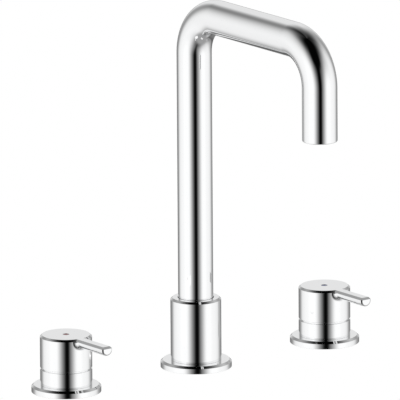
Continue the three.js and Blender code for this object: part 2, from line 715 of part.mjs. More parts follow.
// Aerator screen: a disc pierced by a honeycomb of nineteen holes.
function aeratorScreenGeometry(bottom) {
  const disc = new THREE.Shape();
  disc.absarc(0, 0, SCREEN.radius, 0, 2 * Math.PI, false);
  const rings = 2;
  for (let q = -rings; q <= rings; q++) {
    for (let r = -rings; r <= rings; r++) {
      if (Math.abs(q + r) > rings) continue;
      const x = SCREEN.pitch * (q + r / 2);
      const y = SCREEN.pitch * r * Math.sin(Math.PI / 3);
      const hole = new THREE.Path();
      for (let i = 0; i < 6; i++) {
        const angle = ((i + 0.5) * Math.PI) / 3;
        const px = x + SCREEN.hole * Math.cos(angle);
        const py = y + SCREEN.hole * Math.sin(angle);
        if (i) hole.lineTo(px, py);
        else hole.moveTo(px, py);
      }
      hole.closePath();
      disc.holes.push(hole);
    }
  }
  return prism(disc, bottom, bottom + SCREEN.thickness, 10);
}

// The spout with its foot, its swivel and the tee below the deck.
function addSpout() {
  addDeckClamp(faucet, "spout", SPOUT_FLANGE_R);
  place(faucet, "spout_shank", spoutShankGeometry(), brass);
  place(faucet, "spout_tee", teeGeometry(), brass);
  place(faucet, "spout_collar", collarGeometry(), chrome);
  const { radius, front, back, tipFront } = SPOUT_SCREW;
  const screw = grubScrewGeometry(radius, front, back, SWIVEL.z, SWIVEL.tip, tipFront);
  place(faucet, "spout_retaining_screw", screw, steel);
  const glide = ring(GLIDE_RING.inner, GLIDE_RING.outer, GLIDE_RING.bottom, GLIDE_RING.top, MEDIUM);
  place(faucet, "spout_glide_ring", glide, acetal);
  const thrustBottom = SOCKET.top + GAP;
  const thrust = ring(SOCKET.bore, SOCKET.radius, thrustBottom, NIPPLE.shoulder - GAP, MEDIUM);
  place(faucet, "spout_thrust_washer", thrust, acetal);

  place(faucet, "spout_tube", tubeGeometry(), chrome);
  place(faucet, "spout_swivel_nipple", swivelNippleGeometry(), brass);
  O_RING.heights.forEach((z, i) => {
    const seal = ring(O_RING.inner, O_RING.outer, z, z + O_RING.height, COARSE);
    place(faucet, `spout_o_ring_${i ? "upper" : "lower"}`, seal, rubber);
  });

  const outlet = new THREE.Group();
  outlet.position.set(0, -REACH, 0);
  faucet.add(outlet);
  place(outlet, "aerator_housing", aeratorHousingGeometry(), brass);
  const screenBottom = OUTLET_Z + AERATOR.recess + AERATOR.lipHeight + GAP;
  place(outlet, "aerator_screen", aeratorScreenGeometry(screenBottom), acetal);
  const washerBottom = OUTLET_Z + AERATOR.recess + AERATOR.height + GAP;
  const washerTop = washerBottom + AERATOR_WASHER.height;
  const washer = ring(AERATOR_WASHER.inner, AERATOR.outer, washerBottom, washerTop, COARSE);
  place(outlet, "aerator_washer", washer, rubber);
}

addHandle("hot", -HANDLE_OFFSET, -1, redEnamel);
addHandle("cold", HANDLE_OFFSET, 1, blueEnamel);
addSpout();

export default faucet;
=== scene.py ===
import math
from types import SimpleNamespace as Sizes

import bpy
import numpy as np
from mathutils import Matrix, Vector


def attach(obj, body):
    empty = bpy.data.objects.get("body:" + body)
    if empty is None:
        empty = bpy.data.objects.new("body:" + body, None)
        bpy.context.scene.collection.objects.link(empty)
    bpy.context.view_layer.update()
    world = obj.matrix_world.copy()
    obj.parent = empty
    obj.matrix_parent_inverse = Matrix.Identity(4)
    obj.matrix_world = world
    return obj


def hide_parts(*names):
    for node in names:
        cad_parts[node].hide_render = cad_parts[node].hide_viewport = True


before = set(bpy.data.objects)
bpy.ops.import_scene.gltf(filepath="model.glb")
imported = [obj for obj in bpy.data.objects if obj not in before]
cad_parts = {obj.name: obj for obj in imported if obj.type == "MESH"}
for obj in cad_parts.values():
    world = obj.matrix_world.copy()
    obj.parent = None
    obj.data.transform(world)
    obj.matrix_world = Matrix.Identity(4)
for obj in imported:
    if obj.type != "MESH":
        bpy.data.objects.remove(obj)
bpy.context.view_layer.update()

# The faucet stands on the deck's top face, z = 0. Hot is at -X, cold at +X and the spout points along -Y.
# Sizes are in millimetres, and MM takes them to the scene's metres.
MM = 0.001


# Camera: a long lens, far off to the faucet's left front and a little above it, as in the photo. The
# photo is very nearly a parallel view. Its slight turn about the line of sight is in the up vector.
AZIMUTH = math.radians(-37.4317)
ELEVATION = math.radians(13.4991)
ROLL = math.radians(0.3678)
DISTANCE = 12600
PIXELS_PER_MM = 1.4028
PICTURE_WIDTH = 400
SHIFT_RIGHT, SHIFT_UP = -2.72, -118.1733
level = Vector((math.cos(AZIMUTH), math.sin(AZIMUTH), 0))
back = Vector((math.sin(AZIMUTH) * math.cos(ELEVATION), -math.cos(AZIMUTH) * math.cos(ELEVATION),
               math.sin(ELEVATION)))
upward = back.cross(level)
right = math.cos(ROLL) * level - math.sin(ROLL) * upward
up = math.cos(ROLL) * upward + math.sin(ROLL) * level
lens = bpy.data.cameras.new("long_lens")
lens.sensor_width = 36
lens.lens = PIXELS_PER_MM * DISTANCE / PICTURE_WIDTH * lens.sensor_width
lens.clip_start, lens.clip_end = 1, 40
camera = bpy.data.objects.new("camera", lens)
stand = Matrix.Translation((DISTANCE * back - SHIFT_RIGHT * right - SHIFT_UP * up) * MM)
camera.matrix_world = stand @ Matrix((right, up, back)).transposed().to_4x4()
bpy.context.scene.collection.objects.link(camera)
bpy.context.scene.camera = camera
bpy.context.scene.view_settings.view_transform = "Standard"


# Flanges: three low discs that cover the deck holes, turned from brass and chrome plated. Each has a
# 45 degree rim chamfer that the polishing has just taken the sharpness off, and a groove below for its
# seal. They are clamped down by the nuts under the deck.
def eased(corners, ease, closed=True, steps=5):
    """Rounds the corners of an outline of [radius, height] points that has its metal on the left.

    A corner's arc has the radius ease, touches both of its sides, and turns the outward normal from
    one side's to the other's in equal steps. Returns the points and their outward normals. An open
    outline starts and ends on the axis, and its two end points keep the normal of their one side.
    """
    corners = np.array(corners, float)
    ease = np.broadcast_to(np.asarray(ease, float), len(corners))
    ahead = np.roll(corners, -1, 0) - corners
    ahead /= np.linalg.norm(ahead, axis=1, keepdims=True)
    behind = np.roll(ahead, 1, 0)
    turn = np.arctan2(behind[:, 0] * ahead[:, 1] - behind[:, 1] * ahead[:, 0], (behind * ahead).sum(1))
    reach = (np.sign(turn) * ease)[:, None]
    normal = np.stack([behind[:, 1], -behind[:, 0]], 1)
    start = corners - behind * (ease * np.tan(np.abs(turn) / 2))[:, None]
    centre = start - reach * normal
    angle = np.linspace(0, 1, steps) * turn[:, None]
    swung = np.stack([
        normal[:, :1] * np.cos(angle) - normal[:, 1:] * np.sin(angle),
        normal[:, :1] * np.sin(angle) + normal[:, 1:] * np.cos(angle),
    ], -1)
    points = centre[:, None] + reach[:, None] * swung
    if closed:
        return points.reshape(-1, 2), swung.reshape(-1, 2)
    first = [ahead[0, 1], -ahead[0, 0]]
    last = [behind[-1, 1], -behind[-1, 0]]
    points = np.concatenate([corners[:1], points[1:-1].reshape(-1, 2), corners[-1:]])
    return points, np.concatenate([[first], swung[1:-1].reshape(-1, 2), [last]])


def new_piece(name, points, faces, finish=None):
    """A mesh of points in millimetres and of faces, as an object of its own. A cutter has no finish."""
    mesh = bpy.data.meshes.new(name)
    mesh.from_pydata(points * MM, [], faces)
    if finish:
        mesh.materials.append(finish)
    piece = bpy.data.objects.new(name, mesh)
    bpy.context.scene.collection.objects.link(piece)
    return piece


def skin(name, points, normals, closed, finish=None):
    """A mesh over a grid of points in millimetres, rows by columns, with a normal of its own at each.

    Every row is a closed loop. A row whose points all fall together is a pole, which is one vertex
    with triangles round it. Where closed is true the last row joins the first.
    """
    rows, columns = points.shape[:2]
    index = np.arange(rows * columns).reshape(rows, columns)
    pole = np.ptp(points, axis=1).max(1) < 1e-9
    index[pole] = index[pole, :1]
    below = index if closed else index[:-1]
    above = np.roll(index, -1, 0) if closed else index[1:]
    faces = np.stack([below, np.roll(below, -1, 1), np.roll(above, -1, 1), above], -1).reshape(-1, 4)
    used, faces = np.unique(faces, return_inverse=True)
    faces = [tuple(dict.fromkeys(face)) for face in faces.reshape(-1, 4).tolist()]
    piece = new_piece(name, points.reshape(-1, 3)[used], faces, finish)
    piece.data.shade_smooth()
    piece.data.normals_split_custom_set_from_vertices(normals.reshape(-1, 3)[used])
    return piece


def round_axis(points, normals, angle):
    """Turns (r, z) about the upright axis: at the angle a it lies at (r cos a, r sin a, z)."""
    spoke = np.stack([np.cos(angle), np.sin(angle), 0 * angle], -1)
    return [flat[..., :1] * spoke + flat[..., 1:] * np.array([0, 0, 1]) for flat in (points, normals)]


def turned(name, corners, ease, finish=None, centre=(0, 0), around=192, steps=5):
    """A turned body: its eased corners [radius, height] go round the upright axis through centre.

    It is a ring, or a solid body where its first corner lies on the axis.
    """
    ring = corners[0][0] > 0
    points, normals = eased(corners, ease, ring, steps)
    angle = np.arange(around) / around * 2 * math.pi
    place, facing = round_axis(points[:, None], normals[:, None], angle)
    return skin(name, place + np.array([*centre, 0]), facing, ring, finish)


def fitted(piece, body, slot, *nodes, x=0, mirrored=True):
    """Lets the piece ride on its body in place of the CAD nodes. slot, the record's finish slot, is not used.

    A piece made about the origin is first moved along X. One that isn't mirrored stays out of the chrome.
    """
    if x:
        piece.data.transform(Matrix.Translation((x * MM, 0, 0)))
    piece.visible_glossy = mirrored
    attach(piece, body)
    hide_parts(*nodes)


def linear(hex_colour):
    """The linear RGBA of an sRGB hex colour."""
    part = np.array([int(hex_colour[i:i + 2], 16) for i in (1, 3, 5)]) / 255
    part = np.where(part <= 0.04045, part / 12.92, ((part + 0.055) / 1.055) ** 2.4)
    return (*part, 1.0)


def add_node(tree, kind, settings={}, *inputs, **named):
    """Adds one node, sets its properties, and gives its inputs values or, from nodes and sockets, links.

    settings is a dictionary, or the operation's name alone. Inputs come in their order or by name, in
    lower case with _ for spaces. A node that is given links its first output that is switched on.
    """
    node = tree.nodes.new("ShaderNode" + kind)
    if isinstance(settings, str):
        settings = {"operation": settings}
    for key, value in settings.items():
        setattr(node, key, value)
    for key, value in [*enumerate(inputs), *named.items()]:
        socket = node.inputs[key] if isinstance(key, int) else next(
            s for s in node.inputs if s.enabled and s.name.lower().replace(" ", "_") == key)
        if isinstance(value, bpy.types.Node):
            value = next(output for output in value.outputs if output.enabled)
        if isinstance(value, bpy.types.NodeSocket):
            tree.links.new(value, socket)
        else:
            socket.default_value = value
    return node


def new_finish(name):
    """An empty node material, its tree, and the object coordinates that its patterns follow."""
    material = bpy.data.materials.new(name)
    material.use_nodes = True
    material.node_tree.nodes.clear()
    return material, material.node_tree, add_node(material.node_tree, "TexCoord").outputs["Object"]


def mottled(tree, tones, blend, gloss=None, patches=None, depth=0, relief=None, span=(0.3, 0.7), **shader):
    """The shader of a finish that varies over its piece.

    blend mixes its two tones. Over their span, patches move the roughness from one value of gloss to
    the other. relief raises the surface by up to depth.
    """
    first, second = map(linear, tones)
    shader["base_color"] = add_node(tree, "Mix", {"data_type": "RGBA"}, factor=blend, a=first, b=second)
    if gloss:
        shader["roughness"] = add_node(tree, "MapRange", {}, patches, *span, *gloss)
    if depth:
        shader["normal"] = add_node(tree, "Bump", strength=1.0, distance=depth, height=relief)
    return add_node(tree, "BsdfPrincipled", **shader)


# Bright chrome over buffed brass is a mirror that is very slightly cool, with the faint long waves
# that a buffing wheel leaves under the plating and hairline differences in gloss.
BUFFING_WAVE = 9 * MM
BUFFING_DEPTH = 0.0008 * MM
GLOSS_PATCH = 3.5 * MM

# The photo's pieces don't show in each other's chrome across the deck, so where a piece is further off in a
# reflection than these lengths a painted glare glows in its place: an emission, bright towards -X and dim
# towards +X.
STUDIO_WHITE = 1.08
PAINTED_GLARE = Sizes(turn=80 * MM, bright_to=15 * MM, dim_from=45 * MM, dim="#B4B4B4")
HANDLE_VIEW = 60 * MM
TUBE_VIEW = 1000 * MM


def chrome(name, seen_within):
    """The plate's material: patchy gloss and a faint relief from two noises in object coordinates.

    The painted glare, an emission shown in place of far pieces in reflections, dims with x - turn *
    (the normal's x), from bright_to to dim_from.
    """
    material, tree, where = new_finish(name)
    waves = add_node(tree, "TexNoise", vector=where, scale=1 / BUFFING_WAVE, detail=1.0, roughness=0.4)
    patches = add_node(tree, "TexNoise", vector=where, scale=1 / GLOSS_PATCH, detail=3.0, roughness=0.6)
    plate = mottled(tree, ("#F6F7F8", "#F9F9F9"), patches, (0.022, 0.045), patches, BUFFING_DEPTH, waves,
                    metallic=1.0)
    # Painted reflection: seen by a glossy ray from further than seen_within, the plate glows with the painted
    # glare.
    ray = add_node(tree, "LightPath")
    far = add_node(tree, "Math", "GREATER_THAN", ray.outputs["Ray Length"], seen_within)
    painted_glare_mask = add_node(tree, "Math", "MULTIPLY", far, ray.outputs["Is Glossy Ray"])
    facing = add_node(tree, "SeparateXYZ", {}, where.node.outputs["Normal"])
    place = add_node(tree, "SeparateXYZ", {}, where)
    towards = add_node(tree, "Math", "MULTIPLY_ADD", facing, -PAINTED_GLARE.turn, place)
    dim = add_node(tree, "MapRange", {}, towards, PAINTED_GLARE.bright_to, PAINTED_GLARE.dim_from)
    bright = (STUDIO_WHITE, STUDIO_WHITE, STUDIO_WHITE, 1)
    painted_glare_colour = add_node(tree, "Mix", {"data_type": "RGBA"}, factor=dim, a=bright, b=linear(PAINTED_GLARE.dim))
    surface = add_node(tree, "MixShader", {}, painted_glare_mask, plate, add_node(tree, "Emission", color=painted_glare_colour, strength=1.0))
    add_node(tree, "OutputMaterial", surface=surface)
    return material


bright_chrome = chrome("bright_chrome_plate_on_buffed_brass", HANDLE_VIEW)
tube_chrome = chrome("bright_chrome_plate_on_drawn_brass", TUBE_VIEW)

HANDLE_OFFSET = 116
HANDLES = {"hot": -HANDLE_OFFSET, "cold": HANDLE_OFFSET}
FEET = {"hot": -HANDLE_OFFSET, "spout": 0, "cold": HANDLE_OFFSET}
POLISHED_EDGE = 0.12
FLANGE = Sizes(hot=24.8, spout=25.4, cold=24.8, height=5.3, chamfer=1.6, bore=14)
GROOVE = Sizes(inner=17, outer=22, top=2.2)
for side, x in FEET.items():
    radius = vars(FLANGE)[side]
    flange = turned(f"{side}_flange_disc", [
        [FLANGE.bore, 0], [GROOVE.inner, 0], [GROOVE.inner, GROOVE.top], [GROOVE.outer, GROOVE.top],
        [GROOVE.outer, 0], [radius, 0], [radius, FLANGE.height - FLANGE.chamfer],
        [radius - FLANGE.chamfer, FLANGE.height], [FLANGE.bore, FLANGE.height],
    ], POLISHED_EDGE, bright_chrome, (x, 0))
    fitted(flange, "base", "chrome_plate", f"{side}_flange")


# Flange seals: moulded nitrile rings in the flanges' grooves, which keep splashed water out of the
# deck holes. The rubber is matt black, with the grain of the mould and a faint grey bloom.
SEAL = Sizes(inner=17.3, outer=21.7, height=1.9, ease=0.4)
nitrile, tree, where = new_finish("moulded_nitrile_rubber")
grain = add_node(tree, "TexNoise", vector=where, scale=1 / (0.35 * MM), detail=2.0)
bloom = add_node(tree, "TexNoise", vector=where, scale=1 / (6 * MM), detail=4.0)
add_node(tree, "OutputMaterial", surface=mottled(
    tree, ("#121213", "#262627"), bloom, (0.55, 0.78), bloom, 0.012 * MM, grain))


def washer(name, inner, outer, bottom, top, ease, finish, centre=(0, 0), around=96, steps=5):
    """A flat ring with all four of its corners eased."""
    section = [[inner, bottom], [outer, bottom], [outer, top], [inner, top]]
    return turned(name, section, ease, finish, centre, around, steps)


for side, x in FEET.items():
    seal = washer(f"{side}_flange_ring_seal", SEAL.inner, SEAL.outer, 0, SEAL.height, SEAL.ease, nitrile,
                  (x, 0), around=192)
    fitted(seal, "base", "nitrile_rubber", f"{side}_flange_seal")


# Valve bodies: brass forgings with a blasted skin, bored and threaded. The shank has a G 3/4 thread
# for the nut, the inlet below it G 1/2, and the side outlet, screwed in once the body is through the
# deck, G 3/8. The shoulder on top holds the shroud down.

# Blasting leaves forged brass half matt and grainy, and its yellow is cloudy.
forged_brass, tree, where = new_finish("blasted_forged_brass")
grain = add_node(tree, "TexNoise", vector=where, scale=1 / (0.7 * MM), detail=3.0)
cloud = add_node(tree, "TexNoise", vector=where, scale=1 / (9 * MM), detail=4.0)
add_node(tree, "OutputMaterial", surface=mottled(
    tree, ("#C4A266", "#DCC08A"), cloud, (0.3, 0.46), cloud, 0.02 * MM, grain, metallic=1.0))

G_3_4 = Sizes(pitch=1.814, depth=1.0)
G_1_2 = Sizes(pitch=1.814, depth=1.0)
G_3_8 = Sizes(pitch=1.337, depth=0.8)
STEPS_A_TURN = 8
CREST = 0.94
OVERCUT = 1
BAR_EASE = 0.05
SHANK = Sizes(radius=13.2, chamfer=1.1, run_in=1.3, thread_top=-2, ease=0.1)
SHOULDER = Sizes(radius=15.6, bottom=8.3, top=14)
NECK = Sizes(radius=12.8, top=18)
VALVE_BORE = Sizes(radius=10.2, seat=-14)
INLET = Sizes(bore=4.5, radius=10.4, end=-82, root=-66, chamfer=1.0, groove=9.2, groove_end=-67.8,
              thread_end=-68.6, run_in=1.2, run_out=0.2)
OUTLET = Sizes(radius=8.3, bore=4, height=-55, root=6.5, reach=27, channel=2.4, offset=8.5)
NIPPLE = Sizes(hollow=0.5, neck=0.3, neck_end=13.2, groove=1.0, groove_from=14, groove_to=15, thread=15.9,
               run_in=0.3, run_out=1.2, chamfer=(0.9, 1.0), ease=0.08)


def slopes(points):
    """Normals of a smooth closed-row grid: the cross product of its two directions at each point."""
    along = np.gradient(points, axis=0)
    across = (np.roll(points, -1, 1) - np.roll(points, 1, 1)) / 2
    facing = np.cross(across, along)
    return facing / np.maximum(np.linalg.norm(facing, axis=2, keepdims=True), 1e-12)


def helix(height, angle, thread):
    """How far a right-hand thread lies below its crest: half its depth times (1 - w).

    w = arcsin(c cos u) / arcsin(c) is a triangle wave whose crests and roots c rounds, and
    u = 2 pi z / pitch - a follows the helix with the height z and the angle a.
    """
    wave = np.arcsin(CREST * np.cos(2 * math.pi * height / thread.pitch - angle)) / math.asin(CREST)
    return thread.depth / 2 * (1 - wave)


def threaded(name, corners, ease, finish, cuts, around=64):
    """A turned ring with threads cut into some of its walls, whose normals there are the slopes.

    A cut is (radius, low, high, thread). The wall at that radius gets rows of its own from low to
    high and moves in by the helix, which fades to none over one pitch at each end.
    """
    points, normals = eased(corners, ease)
    cut_rows = np.zeros(len(points), int)
    for number, (radius, low, high, thread) in enumerate(cuts, 1):
        on_wall = np.isclose(points[:, 0], radius)
        long = np.abs(np.diff(points[:, 1])) > 0.5 * (high - low)
        end = np.flatnonzero(on_wall[:-1] & on_wall[1:] & long)[0]
        heights = np.linspace(low, high, round((high - low) / thread.pitch * STEPS_A_TURN) + 1)
        points = np.insert(points, end + 1, np.stack([0 * heights + radius, heights], 1), 0)
        normals = np.insert(normals, end + 1, np.tile(normals[end], (len(heights), 1)), 0)
        cut_rows = np.insert(cut_rows, end + 1, np.full(len(heights), number))
    angle = np.arange(around) / around * 2 * math.pi
    points = np.tile(points[:, None], (1, around, 1))
    for number, (radius, low, high, thread) in enumerate(cuts, 1):
        rows = cut_rows == number
        z = points[rows, :, 1]
        fade = np.clip(np.minimum(z - low, high - z) / thread.pitch, 0, 1)
        points[rows, :, 0] -= helix(z, angle, thread) * fade
    place, facing = round_axis(points, normals[:, None], angle)
    facing[cut_rows > 0] = slopes(place)[cut_rows > 0]
    return skin(name, place, facing, True, finish)


def with_normals(piece, inside_out=False):
    """Keeps a piece's normals in an attribute of its face corners, which a boolean carries along."""
    mesh = piece.data
    if "facing" not in mesh.attributes:
        facing = np.empty(len(mesh.loops) * 3, np.float32)
        mesh.corner_normals.foreach_get("vector", facing)
        mesh.attributes.new("facing", "FLOAT_VECTOR", "CORNER")
        mesh.attributes["facing"].data.foreach_set("vector", -facing if inside_out else facing)
    return piece


def combine(first, operation, *others):
    """Applies a boolean of the others to the first piece, removes them, and keeps the first one's finish."""
    for other in others:
        step = first.modifiers.new("combine", "BOOLEAN")
        step.operation = operation
        step.solver = "MANIFOLD"
        step.object = other
    bpy.context.view_layer.update()
    result = bpy.data.meshes.new_from_object(first.evaluated_get(bpy.context.evaluated_depsgraph_get()))
    while len(result.materials) > 1:
        result.materials.pop()
    first.modifiers.clear()
    first.data = result
    for other in others:
        bpy.data.objects.remove(other)
    return first


def worked(piece, joined, cut):
    """Joins pieces to a piece and cuts others out of it, with each surface's own normals kept."""
    with_normals(piece)
    for other in joined:
        combine(piece, "UNION", with_normals(other))
    combine(piece, "DIFFERENCE", *[with_normals(other, inside_out=True) for other in cut])
    mesh = piece.data
    facing = np.empty(len(mesh.loops) * 3, np.float32)
    mesh.attributes["facing"].data.foreach_get("vector", facing)
    facing = facing.reshape(-1, 3)
    mesh.attributes.remove(mesh.attributes["facing"])
    mesh.shade_smooth()
    mesh.normals_split_custom_set(facing / np.maximum(np.linalg.norm(facing, axis=1, keepdims=True), 1e-9))
    return piece


def laid(piece, toward, x, height):
    """Lays a piece made about the upright axis down, with its top towards +X, -X or +Y, and moves it."""
    turn, axis = {"+X": (1, "Y"), "-X": (-1, "Y"), "+Y": (-1, "X")}[toward]
    quarter = Matrix.Rotation(turn * math.pi / 2, 4, axis)
    piece.data.transform(Matrix.Translation((x * MM, 0, height * MM)) @ quarter)
    return piece


def plain_bar(name, radius, bottom, top, around=64, finish=None):
    """A solid round bar, mostly for a boolean."""
    section = [[0, bottom], [radius, bottom], [radius, top], [0, top]]
    return turned(name, section, BAR_EASE, finish, around=around)


def nipple_bar(radius, root, reach, toward, height):
    """A hose nipple with a G 3/8 thread, a chamfered end and a relief groove, laid down to be joined on."""
    neck, groove = radius - NIPPLE.neck, radius - NIPPLE.groove
    low, high = NIPPLE.thread + NIPPLE.run_in, reach - NIPPLE.run_out
    return laid(threaded("nipple", [
        [NIPPLE.hollow, root], [neck, root], [neck, NIPPLE.neck_end], [groove, NIPPLE.groove_from],
        [groove, NIPPLE.groove_to], [radius, NIPPLE.thread], [radius, reach - NIPPLE.chamfer[1]],
        [radius - NIPPLE.chamfer[0], reach], [NIPPLE.hollow, reach],
    ], NIPPLE.ease, forged_brass, [(radius, low, high, G_3_8)]), toward, 0, height)


for side, x in HANDLES.items():
    casting = threaded(f"{side}_forged_valve_body", [
        [INLET.bore, INLET.end], [INLET.radius - INLET.chamfer, INLET.end],
        [INLET.radius, INLET.end + INLET.chamfer], [INLET.radius, INLET.thread_end],
        [INLET.groove, INLET.groove_end], [INLET.groove, INLET.root],
        [SHANK.radius - SHANK.chamfer, INLET.root], [SHANK.radius, INLET.root + SHANK.chamfer],
        [SHANK.radius, SHOULDER.bottom], [SHOULDER.radius, SHOULDER.bottom], [SHOULDER.radius, SHOULDER.top],
        [NECK.radius, SHOULDER.top], [NECK.radius, NECK.top], [VALVE_BORE.radius, NECK.top],
        [VALVE_BORE.radius, VALVE_BORE.seat], [INLET.bore, VALVE_BORE.seat],
    ], SHANK.ease, forged_brass, [
        (INLET.radius, INLET.end + INLET.run_in, INLET.thread_end - INLET.run_out, G_1_2),
        (SHANK.radius, INLET.root + SHANK.run_in, SHANK.thread_top, G_3_4),
    ])
    inward = "+X" if side == "hot" else "-X"
    nipple = nipple_bar(OUTLET.radius, OUTLET.root, OUTLET.reach, inward, OUTLET.height)
    bore = laid(plain_bar("bore", OUTLET.bore, OUTLET.offset, OUTLET.reach + OVERCUT), inward, 0, OUTLET.height)
    channel = plain_bar("channel", OUTLET.channel, OUTLET.height, VALVE_BORE.seat + OVERCUT, 32)
    channel.data.transform(Matrix.Translation((math.copysign(OUTLET.offset, -x) * MM, 0, 0)))
    worked(casting, [nipple], [bore, channel])
    fitted(casting, "base", "forged_brass", f"{side}_valve_body", x=x, mirrored=False)


# Deck clamps: on each shank, below the 30 mm deck, a nitrile washer, a pressed steel washer with a
# bluish zinc plate, and a forged brass lock nut. The press leaves one edge of the steel rounded.
CLAMP = Sizes(bore=13.7, rubber=21, rubber_top=-30, rubber_height=2, rubber_ease=0.3, steel=20,
              steel_height=1.5, steel_ease=[0.5, 0.5, 0.08, 0.08], gap=0.3)
NUT = Sizes(flats=36, height=8, bore=13.35, clearance=0.02, chamfer=17.8, slope=math.radians(30), mouth=0.9,
            edge=0.08)

# The plate's crystals, about 1.6 mm across, make its gloss uneven, and it clouds from blue to yellow.
zinc_plate, tree, where = new_finish("zinc_plate_on_pressed_steel")
spangle = add_node(tree, "TexVoronoi", vector=where, scale=1 / (1.6 * MM))
cloud = add_node(tree, "TexNoise", vector=where, scale=1 / (5 * MM), detail=4.0)
add_node(tree, "OutputMaterial", surface=mottled(
    tree, ("#9CA4AE", "#C2C1B4"), cloud, (0.26, 0.44), spangle, 0.006 * MM, cloud, (0.0, 0.8), metallic=1.0))


def lock_nut(name, bottom, centre):
    """A hexagon nut whose six corners are chamfered by a cone, with the shank's thread in its bore.

    Seen from above a flat's radius is r = (flats / 2) / cos(angle from its middle), and past the
    chamfer's circle its ends drop by (r - circle) tan(slope). Each corner has a narrow column of its
    own, so that the six sides shade flat. The lower half mirrors the upper one.
    """
    offset = np.radians([-29.6, -24, -16, -8, 0, 8, 16, 24, 29.6, 30])
    corner = np.where(offset == offset[-1], offset, 0)
    angle, middle = ((np.arange(6)[:, None] * math.pi / 3 + turn).ravel() for turn in (offset, corner))
    radius = np.tile(NUT.flats / 2 / np.cos(np.minimum(offset, offset[-2])), 6)
    spoke, flat = (np.stack([np.cos(a), np.sin(a), 0 * a], 1) for a in (angle, middle))
    upright = np.array([0, 0, 1.0])
    cone = spoke * math.sin(NUT.slope) + upright * math.cos(NUT.slope)
    mouth = (upright - spoke) / math.sqrt(2)
    edge, fall = NUT.edge, math.tan(NUT.slope)
    drop = (radius - NUT.chamfer) * fall
    half = [
        (radius, drop + edge, flat), (radius - edge, drop - edge * fall, cone),
        (NUT.chamfer + edge, edge * fall, cone), (NUT.chamfer - edge, 0, upright),
        (NUT.bore + edge, 0, upright), (NUT.bore + NUT.clearance, NUT.clearance, mouth),
        (NUT.bore - NUT.mouth, NUT.mouth, mouth),
    ]
    out, depth = (np.array([row[part] + 0 * angle for row in half]) for part in (0, 1))
    facing = np.array([row[2] + 0 * spoke for row in half])
    top, steps = bottom + NUT.height, round((NUT.height - 2 * NUT.mouth) / G_3_4.pitch * STEPS_A_TURN) + 1
    z = np.linspace(top - NUT.mouth, bottom + NUT.mouth, steps)[:, None] + 0 * angle
    out = np.concatenate([out[::-1], out, NUT.bore - helix(z, angle, G_3_4)])
    height = np.concatenate([bottom + depth[::-1], top - depth, z])
    place = out[..., None] * spoke + height[..., None] * upright
    facing = np.concatenate([facing[::-1] * [1, 1, -1], facing, slopes(place)[-steps:]])
    return skin(name, place + np.array([*centre, 0]), facing, True, forged_brass)


for side, x in FEET.items():
    rubber_bottom = CLAMP.rubber_top - CLAMP.rubber_height
    steel_top = rubber_bottom - CLAMP.gap
    steel_bottom = steel_top - CLAMP.steel_height
    rubber = washer(f"{side}_nitrile_washer", CLAMP.bore, CLAMP.rubber, rubber_bottom, CLAMP.rubber_top,
                    CLAMP.rubber_ease, nitrile, (x, 0))
    fitted(rubber, "base", "nitrile_rubber", f"{side}_rubber_washer", mirrored=False)
    pressed = washer(f"{side}_pressed_washer", CLAMP.bore, CLAMP.steel, steel_bottom, steel_top,
                     CLAMP.steel_ease, zinc_plate, (x, 0))
    fitted(pressed, "base", "zinc_plated_steel", f"{side}_steel_washer", mirrored=False)
    nut = lock_nut(f"{side}_hexagon_lock_nut", steel_bottom - CLAMP.gap - NUT.height, (x, 0))
    fitted(nut, "base", "forged_brass", f"{side}_lock_nut", mirrored=False)


# Shrouds: the fixed lower rings of the two handles, chrome plated brass, each held down on its
# flange by the valve body's shoulder. A step at the top leaves a shadow line under the handle.
SHROUD = Sizes(radius=18.5, bore=16.4, bottom=5.32, ledge=8, step=1.2, step_bottom=16.5, step_top=17.6,
               ease=0.08)
for side, x in HANDLES.items():
    step = SHROUD.radius - SHROUD.step
    shroud = turned(f"{side}_shroud_ring", [
        [FLANGE.bore, SHROUD.bottom], [SHROUD.radius, SHROUD.bottom], [SHROUD.radius, SHROUD.step_bottom],
        [step, SHROUD.step_bottom], [step, SHROUD.step_top], [SHROUD.bore, SHROUD.step_top],
        [SHROUD.bore, SHROUD.ledge], [FLANGE.bore, SHROUD.ledge],
    ], SHROUD.ease, bright_chrome, (x, 0))
    fitted(shroud, "base", "chrome_plate", f"{side}_shroud")


# Cartridges: a turned brass body with a hexagon, two windows and a stop at its nose. The body holds a
# seat seal, two lapped alumina discs and a splined stem, sealed by an O-ring and kept by a clip. The
# tool leaves fine rings on the brass, drawn here at 0.3 mm so that they show.
TOOL_RINGS = 0.3 * MM


def turned_brass(name, x, y=0):
    """Satin turned brass, whose tool rings run round the axis at (x, y), up walls and across faces.

    The relief is sin(2 pi (r + z) / ring spacing), with r the distance from that axis.
    """
    material, tree, where = new_finish(name)
    centred = add_node(tree, "Mapping", vector=where, location=(-x * MM, -y * MM, 0))
    across, along, height = add_node(tree, "SeparateXYZ", {}, centred).outputs
    square = add_node(tree, "Math", "MULTIPLY", along, along)
    square = add_node(tree, "Math", "MULTIPLY_ADD", across, across, square)
    path = add_node(tree, "Math", "ADD", add_node(tree, "Math", "POWER", square, 0.5), height)
    cycles = add_node(tree, "Math", "MULTIPLY", path, 2 * math.pi / TOOL_RINGS)
    rings = add_node(tree, "Math", "SINE", cycles)
    cloud = add_node(tree, "TexNoise", vector=where, scale=1 / (7 * MM), detail=4.0)
    add_node(tree, "OutputMaterial", surface=mottled(
        tree, ("#CDAF72", "#E4CC96"), cloud, (0.2, 0.32), cloud, 0.003 * MM, rings, metallic=1.0))
    return material


brass_at = {x: turned_brass(f"turned_brass_{side}", x) for side, x in FEET.items()}

# Lapped alumina is a dense, warm white ceramic, and lapping leaves its gloss uneven.
alumina, tree, where = new_finish("lapped_alumina_ceramic")
lapping = add_node(tree, "TexNoise", vector=where, scale=1 / (0.4 * MM), detail=3.0)
cloud = add_node(tree, "TexNoise", vector=where, scale=1 / (3 * MM), detail=3.0)
add_node(tree, "OutputMaterial", surface=mottled(
    tree, ("#E6E0D4", "#F2EEE6"), cloud, (0.1, 0.24), lapping, ior=1.76))

